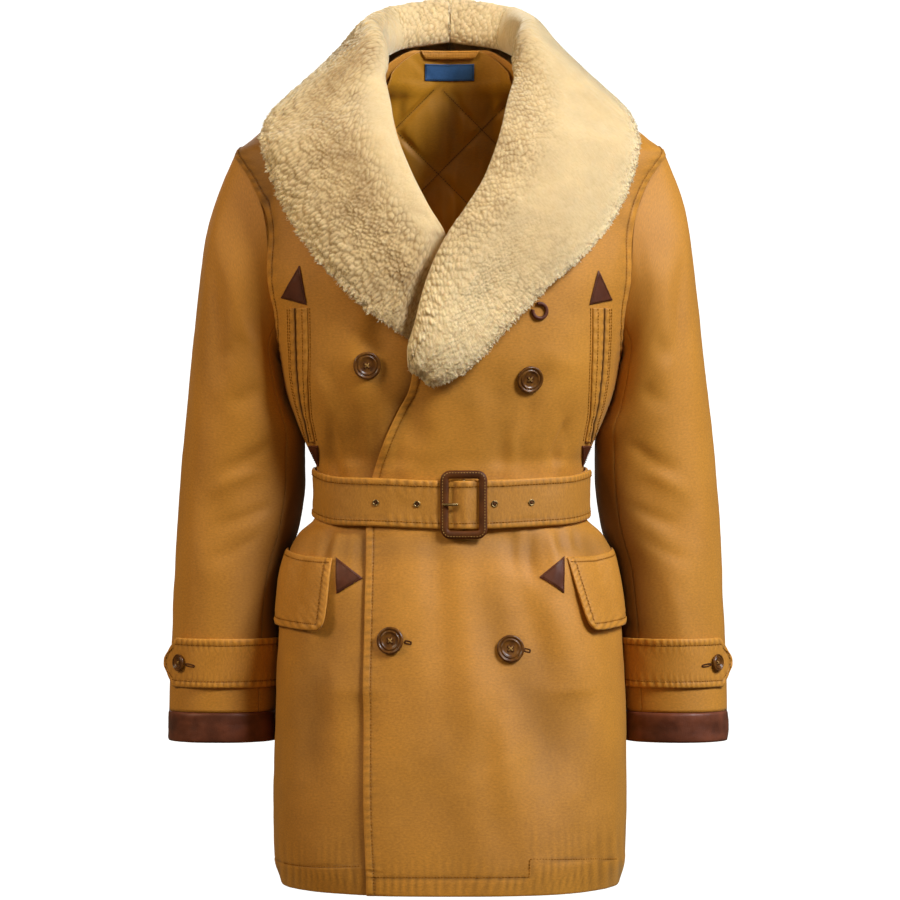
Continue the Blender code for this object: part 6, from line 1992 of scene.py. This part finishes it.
def fine_buttons():
    for name, side, x, z, radius in BUTTONS:

        def surface(u, v, x=x, z=z, layer=LAYER_AT[side]):
            return fine_body(turn_at_x(x + u, z + v), np.array(z + v), 0.0, layer)

        centre, across, up, out = seat_on(surface, radius * 0.6)
        out = -out if out[1] > 0 else out
        fine_button(name, centre - out * 0.25, across, up, out, radius)
        if name in ("button_lower_fastened", "button_lower_over"):
            buttonhole(f"{name}_buttonhole", surface, (radius + 0.5, -1.0), (radius + 6.5, -2.5))
    for name, side in SIDES.items():

        def strap(u, v, side=side):
            return strap_point(np.array(42.0 - side * u * 0.92), np.array(CUFF_STRAP_Z + v), 3.4, side)

        centre, across, up, out = seat_on(strap, CUFF_BUTTON_RADIUS)
        out = -out if out[0] * side < 0 else out
        fine_button(f"cuff_button_{name}", centre, across, up, out, CUFF_BUTTON_RADIUS)
        start, end = (-side * (CUFF_BUTTON_RADIUS + past) for past in (1, 14))
        buttonhole(f"cuff_buttonhole_{name}", strap, (start, -1.5), (end, -3.0), 1.2)


LOOP_X, LOOP_Z, LOOP_LIFT = 91.0, -247.0, 2.1


def fine_button_loop():
    turns = np.linspace(math.radians(110), math.radians(-190), 60)
    path = fine_front(LOOP_X + 7.0 * np.cos(turns), LOOP_Z + 7.5 * np.sin(turns), LOOP_LIFT, 1)
    _, across, up, out = seat_on(lambda u, v: fine_front(LOOP_X + u, LOOP_Z + v, LOOP_LIFT, 1), 1.0)
    ways = np.outer(np.cos(turns), across) + np.outer(np.sin(turns), up)
    tube("button_loop", path, ways, out, 1.9, 1.7, 14, "leather", "leather")


# ---------------------------------------------------------------- inside the neck
def fine_hanger_loop():
    x, share = np.meshgrid(np.linspace(-32, 32, 70), np.linspace(0, 1, 12))
    x = x * (0.82 + 0.18 * share)
    z = 32.0 + 9.0 * share
    stand = 0.8 + 3.0 * np.cos(x / 32 * np.pi / 2)
    edge = np.minimum(share, 1 - share) * 9.0
    crown = 0.5 * np.sqrt(np.clip(edge / 2, 0, 1)) + 0.12 * np.sin(x * 2.1)
    top, low = on_lining(x, z, stand + 1.2 + crown), on_lining(x, z, stand)
    made = wall("hanger_loop", top, low, "canvas", "cloth", tone=0.3 * np.exp(-edge / 1.0))
    ahead = np.tile(AHEAD, (70, 1))
    lines = [(top[row] + ahead * 0.2, ahead) for row in (2, 9)]
    stitches("stitching_hanger_loop", lines, pitch=2.4, length=1.8, thread=0.3)
    return made


# The label's sides, and how far in its stitches run.
LABEL_X, LABEL_Z, LABEL_STITCH = (-27, 26), (9.5, 27), 1.4


def fine_label():
    x, z = np.meshgrid(np.linspace(*LABEL_X, 60), np.linspace(*LABEL_Z, 22))
    edge = np.minimum(np.minimum(x - LABEL_X[0], LABEL_X[1] - x), np.minimum(z - LABEL_Z[0], LABEL_Z[1] - z))
    # Painted shade along the line of the label's stitching.
    tone = -0.5 * np.exp(-(((edge - LABEL_STITCH) / 0.6) ** 2))
    middle = 0.25 * np.sin(x / 9.0)
    top, low = on_lining(x, z, 1.3 + middle), on_lining(x, z, 0.5)
    made = wall("neck_label", top, low, "label", "label", tone=tone)
    (left, right), (down, up) = LABEL_X, LABEL_Z
    left, right, down, up = left + LABEL_STITCH, right - LABEL_STITCH, down + LABEL_STITCH, up - LABEL_STITCH
    line = even_path([(left, down), (right, down), (right, up), (left, up), (left, down)], 1.5)
    points = on_lining(*line.T, 1.45)
    lines = [(points, np.tile(AHEAD, (len(points), 1)))]
    stitches("stitching_label", lines, "label_thread", "label", pitch=1.9, length=1.4, thread=0.26)
    return made


# ---------------------------------------------------------------- the whole coat
def dress():
    fronts = {layer: fine_front_panel(f"front_{layer}", layer) for layer in ("over", "under")}
    back = fine_back_panel()
    body_stitching()
    lining = fine_lining()
    lining_stitching()
    leather_lines = []
    for name, side in SIDES.items():
        top = fine_sleeve_piece(f"sleeve_top_{name}", side, BACK_SLEEVE_SEAM - 360, FRONT_SLEEVE_SEAM, 62)
        under = fine_sleeve_piece(f"sleeve_under_{name}", side, FRONT_SLEEVE_SEAM, BACK_SLEEVE_SEAM, 22)
        binding = fine_cuff_binding(name, side)
        strap = fine_cuff_strap(name, side)
        leather_lines += fine_hand_pocket(name, side, fronts[name])
    for name, side, top_x, bottom_x, kick in (("over", 1, 118, 138, 5.0), ("under", -1, 120, 127, 2.5)):
        flap, line = fine_hip_flap(name, side, top_x, bottom_x, kick)
        leather_lines.append(line)
    sizes = {"pitch": 2.6, "length": 1.9, "thread": 0.32}
    stitches("stitching_leather", leather_lines, "dark_thread", "leather", **sizes)
    reach, start = BACK_COLLAR_REACH, BACK_COLLAR_REACH + GAP
    for name, lapel, layer, ends, spacing, fuzz, fringe, flat, area in (
        ("collar_back", OVER_LAPEL, "over", (-reach, reach), 1.4, 1600, 1500, (0.21, 0.16), 0.032),
        ("collar_over", OVER_LAPEL, "over", (start, None), 1.22, 2400, 3500, (0.18, 0.46), 0.068),
        ("collar_under", UNDER_LAPEL, "under", (start, None), 1.15, 2600, 3500, (0.18, 0.42), 0.063),
    ):
        skin, pile = fleece(name, lapel, layer, *ends, spacing, fuzz, fringe)
    belt = fine_belt()
    fine_buckle()
    fine_eyelets()
    for loop in fine_belt_loops():
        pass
    fine_buttons()
    fine_button_loop()
    fine_hanger_loop()
    fine_label()


LAMPS = (
    # name, place, aim, size, watts, colour
    ("key", (2.0, -2.05, 1.75), (0.05, 0, -0.15), 1.0, 123, (0.96, 1.05, 1.12)),
    ("side", (-3.2, -1.7, 1.6), (-0.1, 0, -0.2), 1.4, 70, (1.0, 0.88, 0.64)),
    ("right", (3.3, -0.9, 1.2), (0.2, 0, -0.2), 1.2, 34, (0.92, 1.03, 1.20)),
    ("fill", (-0.5, -4.6, 1.6), (0, 0, -0.2), 1.6, 16, (1.0, 0.82, 0.46)),
    ("back", (-0.6, 3.6, 1.4), (0, 0, -0.35), 2.2, 45, (1.0, 0.99, 0.97)),
)
FLOOR_Z, FLOOR_RADIUS, FLOOR_CURVE, WALL_TOP_Z, FLOOR_SIDES = -1.5, 5.0, 2.0, 6.0, 96
WORLD_COLOUR, WORLD_STRENGTH = (1.0, 0.84, 0.60, 1), 0.12
# The photograph's camera: level, straight ahead of the coat's middle, in metres and millimetres.
CAMERA_PLACE, CAMERA_LENS, CAMERA_SENSOR = (0.0, -4.0, -0.39), 150.9, 36.0


def paper_floor():
    """A pale floor that curves up into a wall all round, in metres."""
    rows = [(FLOOR_RADIUS, FLOOR_Z)]
    for t in np.linspace(0.1, np.pi / 2, 16):
        rows.append((FLOOR_RADIUS + FLOOR_CURVE * math.sin(t), FLOOR_Z + FLOOR_CURVE * (1 - math.cos(t))))
    rows.append((FLOOR_RADIUS + FLOOR_CURVE, WALL_TOP_Z))
    turns = [2 * math.pi * k / FLOOR_SIDES for k in range(FLOOR_SIDES)]
    vertices = [(r * math.cos(turn), r * math.sin(turn), z) for r, z in rows for turn in turns]
    at = quads_of(numbered(len(rows), FLOOR_SIDES), True)
    faces = [(k, (k + 1) % FLOOR_SIDES, len(vertices)) for k in range(FLOOR_SIDES)]
    faces += at[:, [0, 3, 2, 1]].tolist()
    vertices.append((0.0, 0.0, FLOOR_Z))
    mesh = bpy.data.meshes.new("sweep")
    mesh.from_pydata(vertices, [], faces)
    mesh.shade_smooth()
    look, tree, shader = new_look("paper", Roughness=0.9, Emission_Strength=1.0)
    shade = span(tree, grain(tree, 900, 2.0), 0.3, 0.7)
    colour = colour_mix(tree, shade, (0.93, 0.93, 0.93), (0.95, 0.95, 0.95))
    feed(tree, shader, Base_Color=colour, Emission_Color=colour)
    mesh.materials.append(look)
    sweep = bpy.data.objects.new("sweep", mesh)
    sweep.visible_diffuse = sweep.visible_glossy = sweep.visible_shadow = False
    bpy.context.scene.collection.objects.link(sweep)


def studio():
    """The floor, soft lamps and the photograph's camera."""
    paper_floor()
    for name, place, aim, size, watts, tint in LAMPS:
        lamp = bpy.data.lights.new(name, "AREA")
        lamp.energy, lamp.size, lamp.color = watts, size, tint
        made = bpy.data.objects.new(name, lamp)
        made.location = place
        made.rotation_euler = (Vector(aim) - Vector(place)).to_track_quat("-Z", "Y").to_euler()
        bpy.context.scene.collection.objects.link(made)
    world = bpy.data.worlds.new("studio")
    world.use_nodes = True
    background = world.node_tree.nodes["Background"]
    background.inputs[0].default_value, background.inputs[1].default_value = WORLD_COLOUR, WORLD_STRENGTH
    bpy.context.scene.world = world
    camera = bpy.data.objects.new("camera", bpy.data.cameras.new("camera"))
    camera.data.lens, camera.data.sensor_width = CAMERA_LENS, CAMERA_SENSOR
    camera.location = CAMERA_PLACE
    camera.rotation_euler = (math.pi / 2, 0.0, 0.0)
    bpy.context.scene.collection.objects.link(camera)
    bpy.context.scene.camera = camera
    bpy.context.scene.view_settings.view_transform = "Standard"


studio()
dress()
